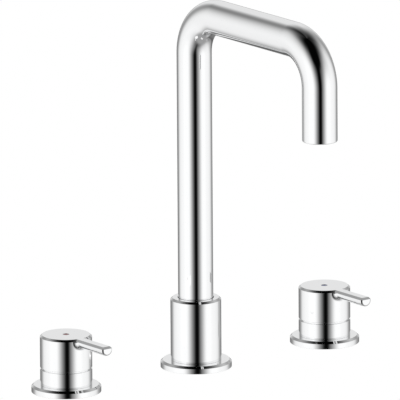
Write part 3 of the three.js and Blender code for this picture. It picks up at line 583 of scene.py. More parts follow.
# Turned stainless steel is a neutral grey with the fine grain of the tool.
stainless, tree, where = new_finish("turned_stainless_steel")
grain = add_node(tree, "TexNoise", vector=where, scale=1 / (0.5 * MM), detail=3.0)
cloud = add_node(tree, "TexNoise", vector=where, scale=1 / (3 * MM), detail=3.0)
add_node(tree, "OutputMaterial", surface=mottled(
    tree, ("#A9A7A3", "#C4C3C0"), cloud, (0.18, 0.34), grain, 0.003 * MM, grain, metallic=1.0))

CARTRIDGE = Sizes(outer=9.2, inner=7.8, bottom=-10, chamber=3, waist=8, thread=9.8, ease=0.1)
WINDOWS = Sizes(length=40, width=8, bottom=-2.7, top=2.3)
HEXAGON = Sizes(flats=24, bottom=18.3, top=23, bore=5.1)
NOSE = Sizes(radius=7.5, top=29)
STEM = Sizes(radius=4.2, bore=4.6, top=38, splined=30.6, spline=4.0, root=3.6, teeth=20, ease=0.06)
STEM_RING = Sizes(inner=3.5, outer=4.3, bottom=11.2, top=13, play=0.4, ease=0.38)
STOP = Sizes(inner=2, radius=6, recess=6.4, bottom=26, width=30, swing=90, play=3)
SPRING_CLIP = Sizes(inner=3.6, outer=6.2, bottom=29.4, thickness=0.9, mouth=70)
DISC = Sizes(radius=7.4, thickness=3, window=80, inner=2.2, outer=6, bottom=-9.4)
DRIVER = Sizes(width=4.4, length=13.6, depth=1, top=1)
SEAT_RING = Sizes(inner=5, outer=7.2, top=-9.7, ease=0.5)
GAP = 0.3


def raised(name, outline, bottom, top, finish=None, centre=(0, 0)):
    """A flat outline of [x, y] points, counterclockwise, raised to a prism with flat-shaded faces."""
    outline = np.asarray(outline, float) + centre
    count = len(outline)
    ends = [np.column_stack([outline, np.full(count, z)]) for z in (bottom, top)]
    around = np.arange(count)
    sides = np.stack([around, np.roll(around, -1), np.roll(around, -1) + count, around + count], 1)
    faces = [*sides.tolist(), around[::-1].tolist(), (around + count).tolist()]
    return new_piece(name, np.concatenate(ends), faces, finish)


def sector(inner, outer, middle, width, steps=24):
    """A piece of a ring between two radii, as many degrees wide, centred on an angle in degrees."""
    angle = np.radians(middle + np.linspace(-width / 2, width / 2, steps))
    arc = np.stack([np.cos(angle), np.sin(angle)], 1)
    return np.concatenate([outer * arc, inner * arc[::-1]])


def oblong(length, width):
    """A rectangle about the origin."""
    return np.array([[-length, -width], [length, -width], [length, width], [-length, width]]) / 2


def star(corners, outer, inner=None):
    """A regular outline of so many corners, at alternating radii where two are given."""
    angle = np.arange(corners) / corners * 2 * math.pi
    radius = np.where(np.arange(corners) % 2, outer if inner is None else inner, outer)
    return np.stack([radius * np.cos(angle), radius * np.sin(angle)], 1)


def crisp(piece):
    """Smooth shading with every edge of more than 25 degrees kept sharp."""
    piece.data.shade_smooth()
    piece.data.set_sharp_from_angle(angle=math.radians(25))
    return piece


for side, x in HANDLES.items():
    brass, control = brass_at[x], f"{side}_control"
    inside = {"x": x, "mirrored": False}
    shell = turned(f"{side}_cartridge", [
        [STEM.bore, CARTRIDGE.chamber], [CARTRIDGE.inner, CARTRIDGE.chamber],
        [CARTRIDGE.inner, CARTRIDGE.bottom], [CARTRIDGE.outer, CARTRIDGE.bottom],
        [CARTRIDGE.outer, CARTRIDGE.waist], [CARTRIDGE.thread, CARTRIDGE.waist],
        [CARTRIDGE.thread, HEXAGON.bottom], [NOSE.radius, HEXAGON.bottom], [NOSE.radius, NOSE.top],
        [STEM.bore, NOSE.top],
    ], CARTRIDGE.ease, brass, around=64)
    hexagon = raised("hexagon", star(6, HEXAGON.flats / math.sqrt(3)), HEXAGON.bottom, HEXAGON.top)
    hole = plain_bar("hexagon_bore", HEXAGON.bore, HEXAGON.bottom - OVERCUT, HEXAGON.top + OVERCUT)
    combine(hexagon, "DIFFERENCE", hole)
    window = raised("window", oblong(WINDOWS.length, WINDOWS.width), WINDOWS.bottom, WINDOWS.top)
    travel = STOP.width + STOP.swing + 2 * STOP.play
    recess = raised("recess", sector(STOP.inner, STOP.recess, 90 + math.copysign(STOP.swing / 2, x), travel),
                    STOP.bottom, NOSE.top + OVERCUT)
    combine(combine(shell, "UNION", hexagon), "DIFFERENCE", window, recess)
    fitted(crisp(shell), "base", "turned_brass", f"{side}_cartridge_body", **inside)

    seat = washer(f"{side}_seat_ring", SEAT_RING.inner, SEAT_RING.outer, VALVE_BORE.seat + GAP, SEAT_RING.top,
                  SEAT_RING.ease, nitrile, around=64)
    fitted(seat, "base", "nitrile_rubber", f"{side}_seat_seal", **inside)

    slot_top = DISC.bottom + 2 * DISC.thickness + GAP
    disc_slot = raised("disc_slot", oblong(2 * (DISC.radius + OVERCUT), DRIVER.width + 2 * GAP),
                       slot_top - DRIVER.depth, slot_top + OVERCUT)
    for place, bottom, facing, slot, body in (
            ("lower", DISC.bottom, 0, [], "base"),
            ("upper", DISC.bottom + DISC.thickness + GAP, 90, [disc_slot], control)):
        top = bottom + DISC.thickness
        disc = plain_bar(f"{side}_{place}_alumina_disc", DISC.radius, bottom, top, 96, alumina)
        windows = [sector(DISC.inner, DISC.outer, facing + turn, DISC.window) for turn in (0, 180)]
        windows = [raised("window", outline, bottom - OVERCUT, top + OVERCUT) for outline in windows]
        combine(disc, "DIFFERENCE", *windows, *slot)
        fitted(crisp(disc), body, "alumina_ceramic", f"{side}_{place}_disc", **inside)

    foot = slot_top - DRIVER.depth + GAP
    ring_floor, clip_floor, clip_low = STEM_RING.inner - GAP, SPRING_CLIP.inner - GAP, SPRING_CLIP.bottom - GAP
    ring_low, ring_high = STEM_RING.bottom - STEM_RING.play, STEM_RING.top + STEM_RING.play
    stem = turned(f"{side}_splined_stem", [
        [0, 0], [STEM.radius, 0], [STEM.radius, ring_low], [ring_floor, ring_low], [ring_floor, ring_high],
        [STEM.radius, ring_high], [STEM.radius, clip_low], [clip_floor, clip_low], [clip_floor, STEM.splined],
        [0, STEM.splined],
    ], STEM.ease, brass, around=64)
    combine(
        stem, "UNION", raised("driver", oblong(DRIVER.length, DRIVER.width), foot, DRIVER.top),
        raised("lug", sector(STOP.inner, STOP.radius, 90, STOP.width), STOP.bottom + GAP, NOSE.top - GAP),
        raised("splines", star(2 * STEM.teeth, STEM.spline, STEM.root), STEM.splined - 0.1, STEM.top))
    fitted(crisp(stem), control, "turned_brass", f"{side}_stem", **inside)

    ring = washer(f"{side}_stem_ring", STEM_RING.inner, STEM_RING.outer, STEM_RING.bottom, STEM_RING.top,
                  STEM_RING.ease, nitrile, around=64, steps=9)
    fitted(ring, control, "nitrile_rubber", f"{side}_stem_o_ring", **inside)
    clip_arc = sector(SPRING_CLIP.inner, SPRING_CLIP.outer, -90, 360 - SPRING_CLIP.mouth, 64)
    clip = raised(f"{side}_spring_clip", clip_arc, SPRING_CLIP.bottom,
                  SPRING_CLIP.bottom + SPRING_CLIP.thickness, stainless)
    fitted(crisp(clip), control, "stainless_steel", f"{side}_stem_clip", **inside)


# Handles: each one zinc casting of a round cap and a flat-topped lever, polished and chrome plated.
# The cap's 45 degree chamfer runs on along both sides of the lever and across its end, and a fillet
# joins the lever to the cap's wall. Below is a cup, and a boss with the socket for the stem.
CAP = Sizes(top=41.3, chamfer=1.5, foot=17.9, roof=33, boss=8.5, boss_bottom=31, pocket=2.3, pocket_depth=1.0)
SOCKET = Sizes(radius=4.3, bottom=28, top=38.3)
SCREW_HOLE = Sizes(radius=2.5, height=36, start=3.6, end=25)
LEVER = Sizes(reach=48.8, half=4.4, depth=6.4, chamfer=1.5, shoulder=2.4, fillet=2.4, end=0.7, draw=1.4,
              least=0.08, ease=0.09)


def belly(half, depth, steps=14):
    """The lever's underside as points [x, z], from its left side to its right: half an ellipse."""
    angle = np.linspace(0, math.pi, 2 * steps + 1)[1:-1]
    return np.stack([-half * np.cos(angle), -LEVER.shoulder - (depth - LEVER.shoulder) * np.sin(angle)], 1)


def lever_section(y):
    """The lever's section at the distance y from the cap's axis, as eased points [x, z] and normals.

    A flat top, a 45 degree chamfer each side, a short straight side and the belly. Near the end the
    top drops at 45 degrees and its corners follow the mitre, with at least a short side left at each
    chamfer, and over the last stretch, end, the sides and the belly draw in by draw times the distance.
    """
    drop = max(0, y - LEVER.reach + LEVER.chamfer)
    inset = LEVER.draw * max(0, y - LEVER.reach + LEVER.end)
    side = LEVER.half - inset
    flat = min(LEVER.half - LEVER.chamfer + drop, side - LEVER.least)
    corner = min(inset - LEVER.chamfer, -drop - LEVER.least)
    return eased([
        [flat, -drop], [-flat, -drop], [-side, corner], [-side, -LEVER.shoulder],
        *belly(side, LEVER.depth - inset), [side, -LEVER.shoulder], [side, corner],
    ], LEVER.ease, steps=4)


def capped(name, points, normals):
    """A skin over sections that follow each other along -Y, closed by a pole amid each end."""
    poles = [np.broadcast_to(points[end].mean(0), points[end].shape) for end in (0, -1)]
    flat = np.broadcast_to([0, 1.0, 0], points[0].shape)
    points, normals = np.stack([poles[0], *points, poles[1]]), np.stack([flat, *normals, -flat])
    return skin(name, points, normals, False, bright_chrome)


def lever_skin():
    """The lever, lofted along -Y from inside the cap. Each edge across it is two rows close together.

    A point's normal is its section's normal, leaned along Y by the rate at which the section moves
    there, which is taken from the sections just before and after.
    """
    edge, small, reach = 0.05, 0.02, LEVER.reach
    bends = np.array([reach - LEVER.chamfer, reach - LEVER.end])
    rows = np.sort([11.9, 12, 20, 30, 40, *(bends - edge), *(bends + edge), reach - 0.3, reach - edge, reach])
    points, normals = [], []
    for y in rows:
        outline, across = lever_section(y)
        lean = (across * (lever_section(y + small)[0] - lever_section(y - small)[0]) / (2 * small)).sum(1)
        facing = np.stack([across[:, 0], lean, across[:, 1]], 1)
        points.append(np.stack([outline[:, 0], 0 * lean - y, CAP.top + outline[:, 1]], 1))
        normals.append(facing / np.linalg.norm(facing, axis=1, keepdims=True))
    normals[0], normals[-1] = (np.broadcast_to([0, toward, 0], normals[0].shape) for toward in (1.0, -1.0))
    return capped("lever", points, normals)


def fillet_skin():
    """The fillet round the lever's root, trimmed by a cone and a ridge that carry on the two chamfers.

    A quarter circle carries the lever's outline from the cap's wall, out by the fillet's radius, to
    the lever's own sides. Each point also moves back with the wall's curve, R - sqrt(R^2 - x^2), by
    a share that falls to none at the lever. Two rows before the arc lie inside the cap, and two rows
    after it inside the lever.
    """
    radius, wall = LEVER.fillet, SHROUD.radius
    turn = np.radians(np.linspace(0, 87, 16))
    out = np.concatenate([[radius + 0.2, radius + 0.1], radius * (1 - np.sin(turn)), [-0.4, -0.4]])
    ahead = np.concatenate([[-5, -0.05], radius * (1 - np.cos(turn)), [radius + 1, radius + 1.5]])
    share = np.concatenate([[1, 1], np.cos(turn), [0, 0]])
    side = np.linspace(1, -LEVER.shoulder, 8)
    points = []
    for grow, y, follow in zip(out, ahead, share):
        half = LEVER.half + grow
        outline = np.concatenate([
            np.stack([np.linspace(half, -half, 8)[:-1], np.ones(7)], 1), np.stack([0 * side - half, side], 1),
            belly(half, LEVER.depth + grow), np.stack([0 * side[:-1] + half, side[:0:-1]], 1),
        ])
        sag = wall - np.sqrt(wall ** 2 - outline[:, 0] ** 2)
        points.append(np.stack([outline[:, 0], follow * sag - wall - y, CAP.top + outline[:, 1]], 1))
    fillet = capped("fillet", points, slopes(np.array(points)))

    # The hundredths of a millimetre keep the trimmed faces clear of the cap's and the lever's own.
    below, rim, edge, spread, fall, deep = LEVER.chamfer + 0.02, wall + 0.01, LEVER.half + 0.01, 12, 8, 30
    cone = turned("cone", [
        [0, 10], [rim + spread, 10], [rim + spread, CAP.top - below - spread], [rim, CAP.top - below],
        [0, CAP.top - below],
    ], 0.01, bright_chrome)
    outline, across = eased([
        [edge, -below], [-edge, -below], [-edge - fall, -below - fall], [-edge - fall, -deep],
        [edge + fall, -deep], [edge + fall, -below - fall],
    ], 0.01, steps=2)
    sections = [np.insert(outline + [0, CAP.top], 1, y, 1) for y in (-1, -40)]
    ridge = capped("ridge", sections, [np.insert(across, 1, 0, 1)] * 2)
    combine(with_normals(cone), "UNION", with_normals(ridge))
    return combine(with_normals(fillet), "INTERSECT", cone)


for side, x in HANDLES.items():
    handle = turned(f"{side}_cap_and_lever", [
        [0, CAP.boss_bottom], [CAP.boss, CAP.boss_bottom], [CAP.boss, CAP.roof], [SHROUD.bore, CAP.roof],
        [SHROUD.bore, CAP.foot], [SHROUD.radius, CAP.foot], [SHROUD.radius, CAP.top - CAP.chamfer],
        [SHROUD.radius - CAP.chamfer, CAP.top], [CAP.pocket, CAP.top], [CAP.pocket, CAP.top - CAP.pocket_depth],
        [0, CAP.top - CAP.pocket_depth],
    ], POLISHED_EDGE, bright_chrome)
    hole = laid(plain_bar("screw_hole", SCREW_HOLE.radius, SCREW_HOLE.start, SCREW_HOLE.end, 48), "+Y", 0,
                SCREW_HOLE.height)
    socket = plain_bar("socket", SOCKET.radius, SOCKET.bottom, SOCKET.top, 80)
    worked(handle, [lever_skin(), fillet_skin()], [hole, socket])
    fitted(handle, f"{side}_control", "chrome_plate", f"{side}_handle", x=x)


# Handle screws: stainless grub screws with a hexagon socket and a flat point, which pinch the handles
# on the stems' splines. They sit deep in the holes at the back of the caps.
HANDLE_SCREW = Sizes(radius=2.2, front=4.9, back=13.5, chamfer=0.4, ease=0.05, run_in=0.05, hollow=0.3,
                     core=0.8)
M_4_5 = Sizes(pitch=0.75, depth=0.4)
KEY = Sizes(flats=2.3, depth=2.2)


def grub_screw(name, x, height, radius, front, back, point=None):
    """A grub screw along +Y with its socket outwards, and a slim point where its radius and end are given."""
    slim = radius - HANDLE_SCREW.chamfer
    low, high = front + HANDLE_SCREW.chamfer, back - HANDLE_SCREW.chamfer
    hollow, run_in = HANDLE_SCREW.hollow, HANDLE_SCREW.run_in
    body = threaded(name, [
        [hollow, front], [slim, front], [radius, low], [radius, high], [slim, back], [hollow, back],
    ], HANDLE_SCREW.ease, stainless, [(radius, low + run_in, high - run_in, M_4_5)], around=48)
    joined = [plain_bar("core", HANDLE_SCREW.core, front + 0.01, back - 0.01, 24)]
    if point:
        joined.append(plain_bar("point", point[0], point[1], front + 1, 48))
    socket = raised("socket", star(6, KEY.flats / math.sqrt(3)), back - KEY.depth, back + 1)
    return laid(worked(body, joined, [socket]), "+Y", x, height)


for side, x in HANDLES.items():
    screw = grub_screw(f"{side}_grub_screw", x, SCREW_HOLE.height, HANDLE_SCREW.radius, HANDLE_SCREW.front,
                       HANDLE_SCREW.back)
    fitted(screw, f"{side}_control", "stainless_steel", f"{side}_handle_screw")


# Index dots: drops of gloss enamel in the caps' shallow pockets, red for hot and blue for cold.
# The enamel has shrunk a little as it dried, so that each dot is slightly domed.
DOT = Sizes(radius=2.0, bottom=40.6, edge=41.05, rise=0.2, ease=0.06)
for side, x, colour, tones in (("hot", -HANDLE_OFFSET, "red", ("#A81C26", "#B9222C")),
                               ("cold", HANDLE_OFFSET, "blue", ("#1B479B", "#2453A8"))):
    enamel, tree, where = new_finish(f"{side}_gloss_enamel")
    cloud = add_node(tree, "TexNoise", vector=where, scale=1 / (0.8 * MM), detail=3.0)
    add_node(tree, "OutputMaterial", surface=mottled(
        tree, tones, cloud, depth=0.004 * MM, relief=cloud, roughness=0.12))
    inwards = np.linspace(0, 1, 10)[1:-1]
    dome = np.stack([DOT.radius * (1 - inwards), DOT.edge + DOT.rise * (1 - (1 - inwards) ** 2)], 1)
    dot = turned(f"{side}_enamel_dot", [
        [0, DOT.bottom], [DOT.radius, DOT.bottom], [DOT.radius, DOT.edge], *dome, [0, DOT.edge + DOT.rise],
    ], DOT.ease, enamel, (x, 0), 64)
    fitted(dot, f"{side}_control", f"{colour}_enamel", f"{side}_index_dot")


# Spout shank and tee: the shank is turned brass with a G 3/4 thread, and its socket carries the
# swivelling foot of the spout. The forged tee below it is pushed over the shank's spigot, and takes a
# hose from each valve.
SHANK_END = Sizes(bottom=-62, top=5.6)
SPIGOT = Sizes(radius=9, end=-72, bore=6, chamfer=0.6)
SWIVEL_SOCKET = Sizes(radius=15.3, bore=10.4, top=22.7, floor=-6)
RETAINER = Sizes(height=16.7, hole=2.55, start=9, end=25)
TEE = Sizes(radius=12.8, bottom=-92, bore=9.4, arms=-82, arm=8.3, arm_root=5, reach=27, waterway=4.5,
            ease=[0, 1.2, 0.8, 0.2, 0.2, 0])
shank = threaded("spout_threaded_shank", [
    [SPIGOT.bore, SPIGOT.end], [SPIGOT.radius - SPIGOT.chamfer, SPIGOT.end],
    [SPIGOT.radius, SPIGOT.end + SPIGOT.chamfer], [SPIGOT.radius, SHANK_END.bottom],
    [SHANK.radius - SHANK.chamfer, SHANK_END.bottom], [SHANK.radius, SHANK_END.bottom + SHANK.chamfer],
    [SHANK.radius, SHANK_END.top], [SWIVEL_SOCKET.radius, SHANK_END.top],
    [SWIVEL_SOCKET.radius, SWIVEL_SOCKET.top], [SWIVEL_SOCKET.bore, SWIVEL_SOCKET.top],
    [SWIVEL_SOCKET.bore, SWIVEL_SOCKET.floor], [SPIGOT.bore, SWIVEL_SOCKET.floor],
], SHANK.ease, brass_at[0], [(SHANK.radius, SHANK_END.bottom + SHANK.run_in, SHANK.thread_top, G_3_4)])


def retainer_hole():
    """The retaining screw's hole at the back, for a boolean."""
    bar = plain_bar("screw_hole", RETAINER.hole, RETAINER.start, RETAINER.end, 48)
    return laid(bar, "+Y", 0, RETAINER.height)


fitted(worked(shank, [], [retainer_hole()]), "base", "turned_brass", "spout_shank", mirrored=False)

tee_top, tee_floor = SHANK_END.bottom - GAP, SPIGOT.end - GAP
tee = turned("spout_forged_tee", [
    [0, TEE.bottom], [TEE.radius, TEE.bottom], [TEE.radius, tee_top], [TEE.bore, tee_top],
    [TEE.bore, tee_floor], [0, tee_floor],
], TEE.ease, forged_brass, around=96)
arms = [nipple_bar(TEE.arm, TEE.arm_root, TEE.reach, toward, TEE.arms) for toward in ("-X", "+X")]
waterway = plain_bar("waterway", TEE.waterway, -TEE.reach - OVERCUT, TEE.reach + OVERCUT)
upright = plain_bar("upright", TEE.waterway, TEE.arms, SPIGOT.end)
worked(tee, arms, [laid(waterway, "+X", 0, TEE.arms), upright])
fitted(tee, "base", "forged_brass", "spout_tee", mirrored=False)


# Collar: the fixed sleeve round the foot of the spout's tube, turned from brass and chrome plated.
# Its mouth fits closely round the tube. The retaining screw goes in through the hole at the back.
COLLAR = Sizes(radius=18.1, bore=15.7, top=50.7, chamfer=1.5, lip=47.6, mouth=12.9)
collar = turned("spout_collar_sleeve", [
    [COLLAR.bore, SHROUD.bottom], [COLLAR.radius, SHROUD.bottom], [COLLAR.radius, COLLAR.top - COLLAR.chamfer],
    [COLLAR.radius - COLLAR.chamfer, COLLAR.top], [COLLAR.mouth, COLLAR.top], [COLLAR.mouth, COLLAR.lip],
    [COLLAR.bore, COLLAR.lip],
], POLISHED_EDGE, bright_chrome)
fitted(worked(collar, [], [retainer_hole()]), "base", "chrome_plate", "spout_collar")


# Spout swivel: a turned brass nipple brazed into the tube's foot, on two O-rings in the shank's
# socket. It rests on an acetal thrust washer, an acetal ring steadies the tube in the collar, and the
# retaining screw's point runs in a slot that ends its swing.
TUBE = Sizes(outer=12.5, inner=11.3, bottom=26.9, top=259.5, reach=145, bend=30, outlet=191.4)
SWIVEL = Sizes(radius=9.7, bottom=-4, shoulder=24.7, seat=26.6, plug=11, top=40, bore=6, ease=0.1)
O_RING = Sizes(inner=8.4, outer=10.05, height=2, bottoms={"lower": 1, "upper": 8}, ease=0.8)
THRUST_EASE = 0.2
SWING_SLOT = Sizes(inner=8.1, half=60, point=1.5)
GLIDE_RING = Sizes(inner=12.9, outer=15.4, bottom=39.5, top=47.3, ease=0.4)
RETAINING_SCREW = Sizes(radius=2.25, front=11.4, back=17, point=8.6)

# Moulded acetal is a cool white plastic with a half-matt skin and faint marks of its flow.
acetal, tree, where = new_finish("moulded_white_acetal")
flow = add_node(tree, "TexNoise", vector=where, scale=1 / (4 * MM), detail=3.0)
grain = add_node(tree, "TexNoise", vector=where, scale=1 / (0.3 * MM), detail=2.0)
add_node(tree, "OutputMaterial", surface=mottled(
    tree, ("#E2E2DD", "#EFEFEB"), flow, (0.34, 0.5), flow, 0.004 * MM, grain, ior=1.48))

outline = [[SWIVEL.bore, SWIVEL.bottom], [SWIVEL.radius, SWIVEL.bottom]]
for bottom in O_RING.bottoms.values():
    floor, low, high = O_RING.inner - GAP, bottom - GAP, bottom + O_RING.height + GAP
    outline += [[SWIVEL.radius, low], [floor, low], [floor, high], [SWIVEL.radius, high]]
swivel = turned("spout_brazed_nipple", [
    *outline, [SWIVEL.radius, SWIVEL.shoulder], [TUBE.outer, SWIVEL.shoulder], [TUBE.outer, SWIVEL.seat],
    [SWIVEL.plug, SWIVEL.seat], [SWIVEL.plug, SWIVEL.top], [SWIVEL.bore, SWIVEL.top],
], SWIVEL.ease, brass_at[0], around=96)
half_slot = SWING_SLOT.point + GAP
swing = 2 * (SWING_SLOT.half + math.degrees(math.asin(half_slot / SWING_SLOT.inner)))
combine(swivel, "DIFFERENCE", raised("slot", sector(SWING_SLOT.inner, SWIVEL.radius + 2, 90, swing, 48),
                                     RETAINER.height - half_slot, RETAINER.height + half_slot))
fitted(crisp(swivel), "spout_arm", "turned_brass", "spout_swivel_nipple", mirrored=False)
for place, bottom in O_RING.bottoms.items():
    ring = washer(f"spout_{place}_ring", O_RING.inner, O_RING.outer, bottom, bottom + O_RING.height,
                  O_RING.ease, nitrile)
    fitted(ring, "spout_arm", "nitrile_rubber", f"spout_o_ring_{place}", mirrored=False)
thrust = washer("spout_acetal_thrust_washer", SWIVEL_SOCKET.bore, SWIVEL_SOCKET.radius, SWIVEL_SOCKET.top + GAP,
                SWIVEL.shoulder - GAP, THRUST_EASE, acetal)
fitted(thrust, "base", "white_acetal", "spout_thrust_washer", mirrored=False)
glide = washer("spout_acetal_ring", GLIDE_RING.inner, GLIDE_RING.outer, GLIDE_RING.bottom, GLIDE_RING.top,
               GLIDE_RING.ease, acetal)
fitted(glide, "base", "white_acetal", "spout_glide_ring", mirrored=False)
retainer = grub_screw("spout_pointed_screw", 0, RETAINER.height, RETAINING_SCREW.radius, RETAINING_SCREW.front,
                      RETAINING_SCREW.back, (SWING_SLOT.point, RETAINING_SCREW.point))
fitted(retainer, "base", "stainless_steel", "spout_retaining_screw")


# Spout tube: drawn brass tube with two bends to a round former, polished and chrome plated. Its lip
# is eased inside and out, and the aerator screws into the end.
FOOT_EASE = 0.25
LIP_EASE = Sizes(outside=0.6, inside=0.4)


def tube_line(bend_steps=48):
    """The tube's centreline from foot to lip: places in mm and unit directions, both in the YZ plane."""
    bend, top, reach = TUBE.bend, TUBE.top, TUBE.reach
    quarter = np.linspace(0, math.pi / 2, bend_steps + 1)
    first = np.stack([bend * np.cos(quarter) - bend, top - bend + bend * np.sin(quarter)], 1)
    second = np.stack([bend - reach - bend * np.sin(quarter), top - bend + bend * np.cos(quarter)], 1)
    heading = np.concatenate([[0], quarter, quarter + math.pi / 2, [math.pi]])
    place = np.concatenate([[[0, TUBE.bottom]], first, second, [[-reach, TUBE.outlet]]])
    return place, np.stack([-np.sin(heading), np.cos(heading)], 1)


def tube_skin(name, around=192):
    """The tube as one closed skin: up the outside, over the lip, and back down the bore.

    At each station the ring stands square to the centreline: its point at angle a is the place plus
    radius times (cos a along X, sin a along the side that lies square to the direction). The foot's
    and the lip's edges are rows at the two end stations, shifted along the centreline.
    """
    place, heading = tube_line()
    length = 50
    profile, facing = eased([
        [TUBE.inner, 0], [TUBE.outer, 0], [TUBE.outer, length], [TUBE.inner, length],
    ], [FOOT_EASE, FOOT_EASE, LIP_EASE.outside, LIP_EASE.inside], steps=9)
    edges = np.column_stack([profile, facing])
    foot, lip = np.split(edges, 2)
    inner, outer = np.array([TUBE.inner, 0, -1, 0]), np.array([TUBE.outer, 0, 1, 0])
    last = len(place) - 1
    between = np.arange(1, last)
    station = np.concatenate([np.zeros(len(foot), int), between, np.full(len(lip), last), between[::-1]])
    outside, inside = (np.tile(row, (last - 1, 1)) for row in (outer, inner))
    rows = np.concatenate([foot, outside, lip - [0, length, 0, 0], inside])
    radius, shift, out_share, along_share = rows.T[:, :, None, None]
    place, along = (np.insert(flat[station], 0, 0, 1)[:, None] for flat in (place, heading))
    side = np.concatenate([0 * along[..., :1], along[..., 2:], -along[..., 1:2]], -1)
    angle = (np.arange(around) / around * 2 * math.pi)[:, None]
    out = np.cos(angle) * [1, 0, 0] + np.sin(angle) * side
    points, normals = radius * out + place + shift * along, out_share * out + along_share * along
    return skin(name, points, normals, True, tube_chrome)


fitted(tube_skin("spout_bent_tube"), "spout_arm", "chrome_plate", "spout_tube")


# Aerator: a turned brass housing screwed into the outlet, with two slots for its key. It holds a
# moulded acetal honeycomb against its lip, and a nitrile washer seals it above.
AERATOR = Sizes(outer=11, inner=9.3, recess=0.6, height=11, lip=8.4, lip_height=1,
                ease=[0.25, 0.4, 0.1, 0.1, 0.1, 0.1])
AERATOR_KEY = Sizes(length=30, width=3, depth=0.8)
SCREEN = Sizes(radius=9, thickness=2.4, cells=3, pitch=2.55, hole=1.25, ease=0.15)
AERATOR_WASHER = Sizes(inner=8, height=1.8, ease=0.3)
outlet = (0, -TUBE.reach)
bottom = TUBE.outlet + AERATOR.recess
top, lip_top = bottom + AERATOR.height, bottom + AERATOR.lip_height
housing = turned("aerator_turned_housing", [
    [AERATOR.lip, bottom], [AERATOR.outer, bottom], [AERATOR.outer, top], [AERATOR.inner, top],
    [AERATOR.inner, lip_top], [AERATOR.lip, lip_top],
], AERATOR.ease, turned_brass("turned_brass_aerator", *outlet), outlet, 128)
key_slots = raised("key_slots", oblong(AERATOR_KEY.length, AERATOR_KEY.width), bottom - OVERCUT,
                   bottom + AERATOR_KEY.depth, centre=outlet)
fitted(worked(housing, [], [key_slots]), "spout_arm", "turned_brass", "aerator_housing", mirrored=False)

low, high = lip_top + GAP, lip_top + GAP + SCREEN.thickness
screen = turned("aerator_honeycomb", [
    [0, low], [SCREEN.radius, low], [SCREEN.radius, high], [0, high],
], SCREEN.ease, acetal, outlet, 96)
steps = range(-SCREEN.cells, SCREEN.cells + 1)
cells = [(q + r / 2, r * math.sin(math.pi / 3)) for q in steps for r in steps if abs(q + r) <= SCREEN.cells]
hexagon = star(6, SCREEN.hole) @ np.array([[0, 1], [-1, 0]])
combine(screen, "DIFFERENCE", *[
    raised("cell", hexagon + SCREEN.pitch * np.array(cell), low - OVERCUT, high + OVERCUT, centre=outlet)
    for cell in cells])
fitted(crisp(screen), "spout_arm", "white_acetal", "aerator_screen", mirrored=False)
seal = washer("aerator_nitrile_washer", AERATOR_WASHER.inner, AERATOR.outer, top + GAP,
              top + GAP + AERATOR_WASHER.height, AERATOR_WASHER.ease, nitrile, outlet)
fitted(seal, "spout_arm", "nitrile_rubber", "aerator_washer", mirrored=False)


# Deck: a plain white ground that the photo shows no shade on. It lets the hardware below it be seen
# from underneath, and the chrome reflects the studio instead of it.
GROUND = 4000
ground_finish, tree = new_finish("plain_white_ground")[:2]
seen = add_node(tree, "NewGeometry").outputs["Backfacing"]
glow = add_node(tree, "Emission", color=(1, 1, 1, 1), strength=1.0)
clear = add_node(tree, "BsdfTransparent")
add_node(tree, "OutputMaterial", surface=add_node(tree, "MixShader", {}, seen, glow, clear))
corners = np.array([(-1, -1, 0), (1, -1, 0), (1, 1, 0), (-1, 1, 0)])
ground = new_piece("ground", corners * GROUND, [(0, 1, 2, 3)], ground_finish)
ground.visible_glossy = False
ground.visible_diffuse = False


# Studio: soft lights as a function of direction, as the photo's chrome shows them. They are an oval key
# light on each side of the camera, three more at the sides and the back, and a glowing ground, with dark
# panels in and over the gap between the keys, at the back right, on the ground behind and the ceiling.
world = bpy.data.worlds.new("soft_studio")
world.use_nodes = True
tree = world.node_tree
tree.nodes.clear()
bpy.context.scene.world = world

# A soft rise from 0 to 1 between two values of the input: 3 t^2 - 2 t^3.
SOFT_RISE = {"interpolation_type": "SMOOTHSTEP"}


def oval(bearing, rise, wide, high, soft):
    """How far a direction lies inside a soft oval in degrees of bearing and rise: 1 within, 0 outside.

    With u and v the direction's distances from the oval's middle, as shares of its half width and half
    height, it rises from 0 where sqrt(u^2 + v^2) is 1 to 1 where that is 1 - soft.
    """
    turn = add_node(tree, "Math", "SUBTRACT", bearing_of_ray, bearing)
    turn = add_node(tree, "Math", "WRAP", turn, 180.0, -180.0)
    across = add_node(tree, "Math", "DIVIDE", turn, wide)
    upright = add_node(tree, "Math", "DIVIDE", add_node(tree, "Math", "SUBTRACT", rise_of_ray, rise), high)
    square = add_node(tree, "Math", "MULTIPLY", upright, upright)
    square = add_node(tree, "Math", "MULTIPLY_ADD", across, across, square)
    distance = add_node(tree, "Math", "SQRT", square)
    return add_node(tree, "MapRange", SOFT_RISE, distance, 1.0, 1 - soft)


def shaded(light, amount, share):
    """Takes a share of an amount, 0 to 1, away from the light."""
    left = add_node(tree, "Math", "MULTIPLY_ADD", amount, -share, 1.0)
    return add_node(tree, "Math", "MULTIPLY", light, left)


def degrees_of(function, *values):
    """The angle in degrees that an inverse function gives."""
    return add_node(tree, "Math", "DEGREES", add_node(tree, "Math", function, *values))


direction = add_node(tree, "TexCoord").outputs["Generated"]
level_front = (math.sin(AZIMUTH), -math.cos(AZIMUTH), 0)
along_right = add_node(tree, "VectorMath", "DOT_PRODUCT", direction, tuple(level))
along_front = add_node(tree, "VectorMath", "DOT_PRODUCT", direction, level_front)
bearing_of_ray = degrees_of("ARCTAN2", along_right, along_front)
rise_of_ray = degrees_of("ARCSINE", add_node(tree, "SeparateXYZ", {}, direction).outputs["Z"])

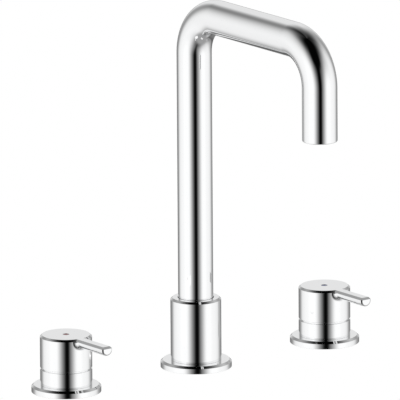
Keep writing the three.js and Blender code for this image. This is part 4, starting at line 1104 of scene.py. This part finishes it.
# Each light and panel is an oval: the bearing and rise of its middle, its half width and half height in
# degrees, its softness, and the share of the light that it gives or takes.
LIGHTS = {
    "left key": (-56.9, -7.4, 71.8, 85.1, 0.82, 0.99),
    "right key": (60.4, -8.6, 69.7, 86.5, 0.9, 0.99),
    "back": (174.3, 45, 61.3, 149.2, 0.64, 0.87),
    "left side": (-103.1, -19.4, 68, 170, 0.89, 0.9),
    "right side": (103.7, -1.3, 71.2, 134.1, 0.89, 0.9),
}
PANELS = {
    "gap between the keys": (5.1, 2.1, 14.4, 80, 0.92, 1.0),
    "back right": (147.8, 22, 26.8, 110, 1.0, 0.33),
    "over the gap": (4.9, 54.6, 40, 35, 0.43, 0.94),
    "ground behind": (180, -30, 38.5, 35, 0.35, 0.45),
}
GROUND_GLOW = Sizes(start=-10.5, full=-45, bright=0.29)
BELOW = Sizes(start=-52.2, full=-71.3, bright=0.58)
CEILING = Sizes(lean=math.radians(-5), start=54, full=4, dark=0.75)
AMBIENT = 12 / 255
PICTURE_GAMMA = 2.2
dark = 1.0
for *place, share in LIGHTS.values():
    dark = shaded(dark, oval(*place), share)
glow = add_node(tree, "MapRange", SOFT_RISE, rise_of_ray, GROUND_GLOW.start, GROUND_GLOW.full)
dark = shaded(dark, glow, GROUND_GLOW.bright)
shown = add_node(tree, "Math", "SUBTRACT", 1.0, dark)
middle = Vector(level_front) * math.sin(CEILING.lean) + Vector((0, 0, math.cos(CEILING.lean)))
from_middle = degrees_of("ARCCOSINE", add_node(tree, "VectorMath", "DOT_PRODUCT", direction, tuple(middle)))
ceiling = add_node(tree, "MapRange", SOFT_RISE, from_middle, CEILING.start, CEILING.full)
shown = shaded(shown, ceiling, CEILING.dark)
for *place, share in PANELS.values():
    shown = shaded(shown, oval(*place), share)
low = add_node(tree, "MapRange", SOFT_RISE, rise_of_ray, BELOW.start, BELOW.full)
shown = add_node(tree, "Math", "MULTIPLY_ADD", low, BELOW.bright, shaded(shown, low, 1.0))
shown = add_node(tree, "Math", "MULTIPLY_ADD", shown, 1 - AMBIENT, AMBIENT)
shown = add_node(tree, "Math", "POWER", shown, PICTURE_GAMMA)
studio = add_node(tree, "Background", color=shown, strength=STUDIO_WHITE)
plain = add_node(tree, "Background", color=(1, 1, 1, 1), strength=1.0)
to_camera = add_node(tree, "LightPath").outputs["Is Camera Ray"]
add_node(tree, "OutputWorld", surface=add_node(tree, "MixShader", {}, to_camera, studio, plain))
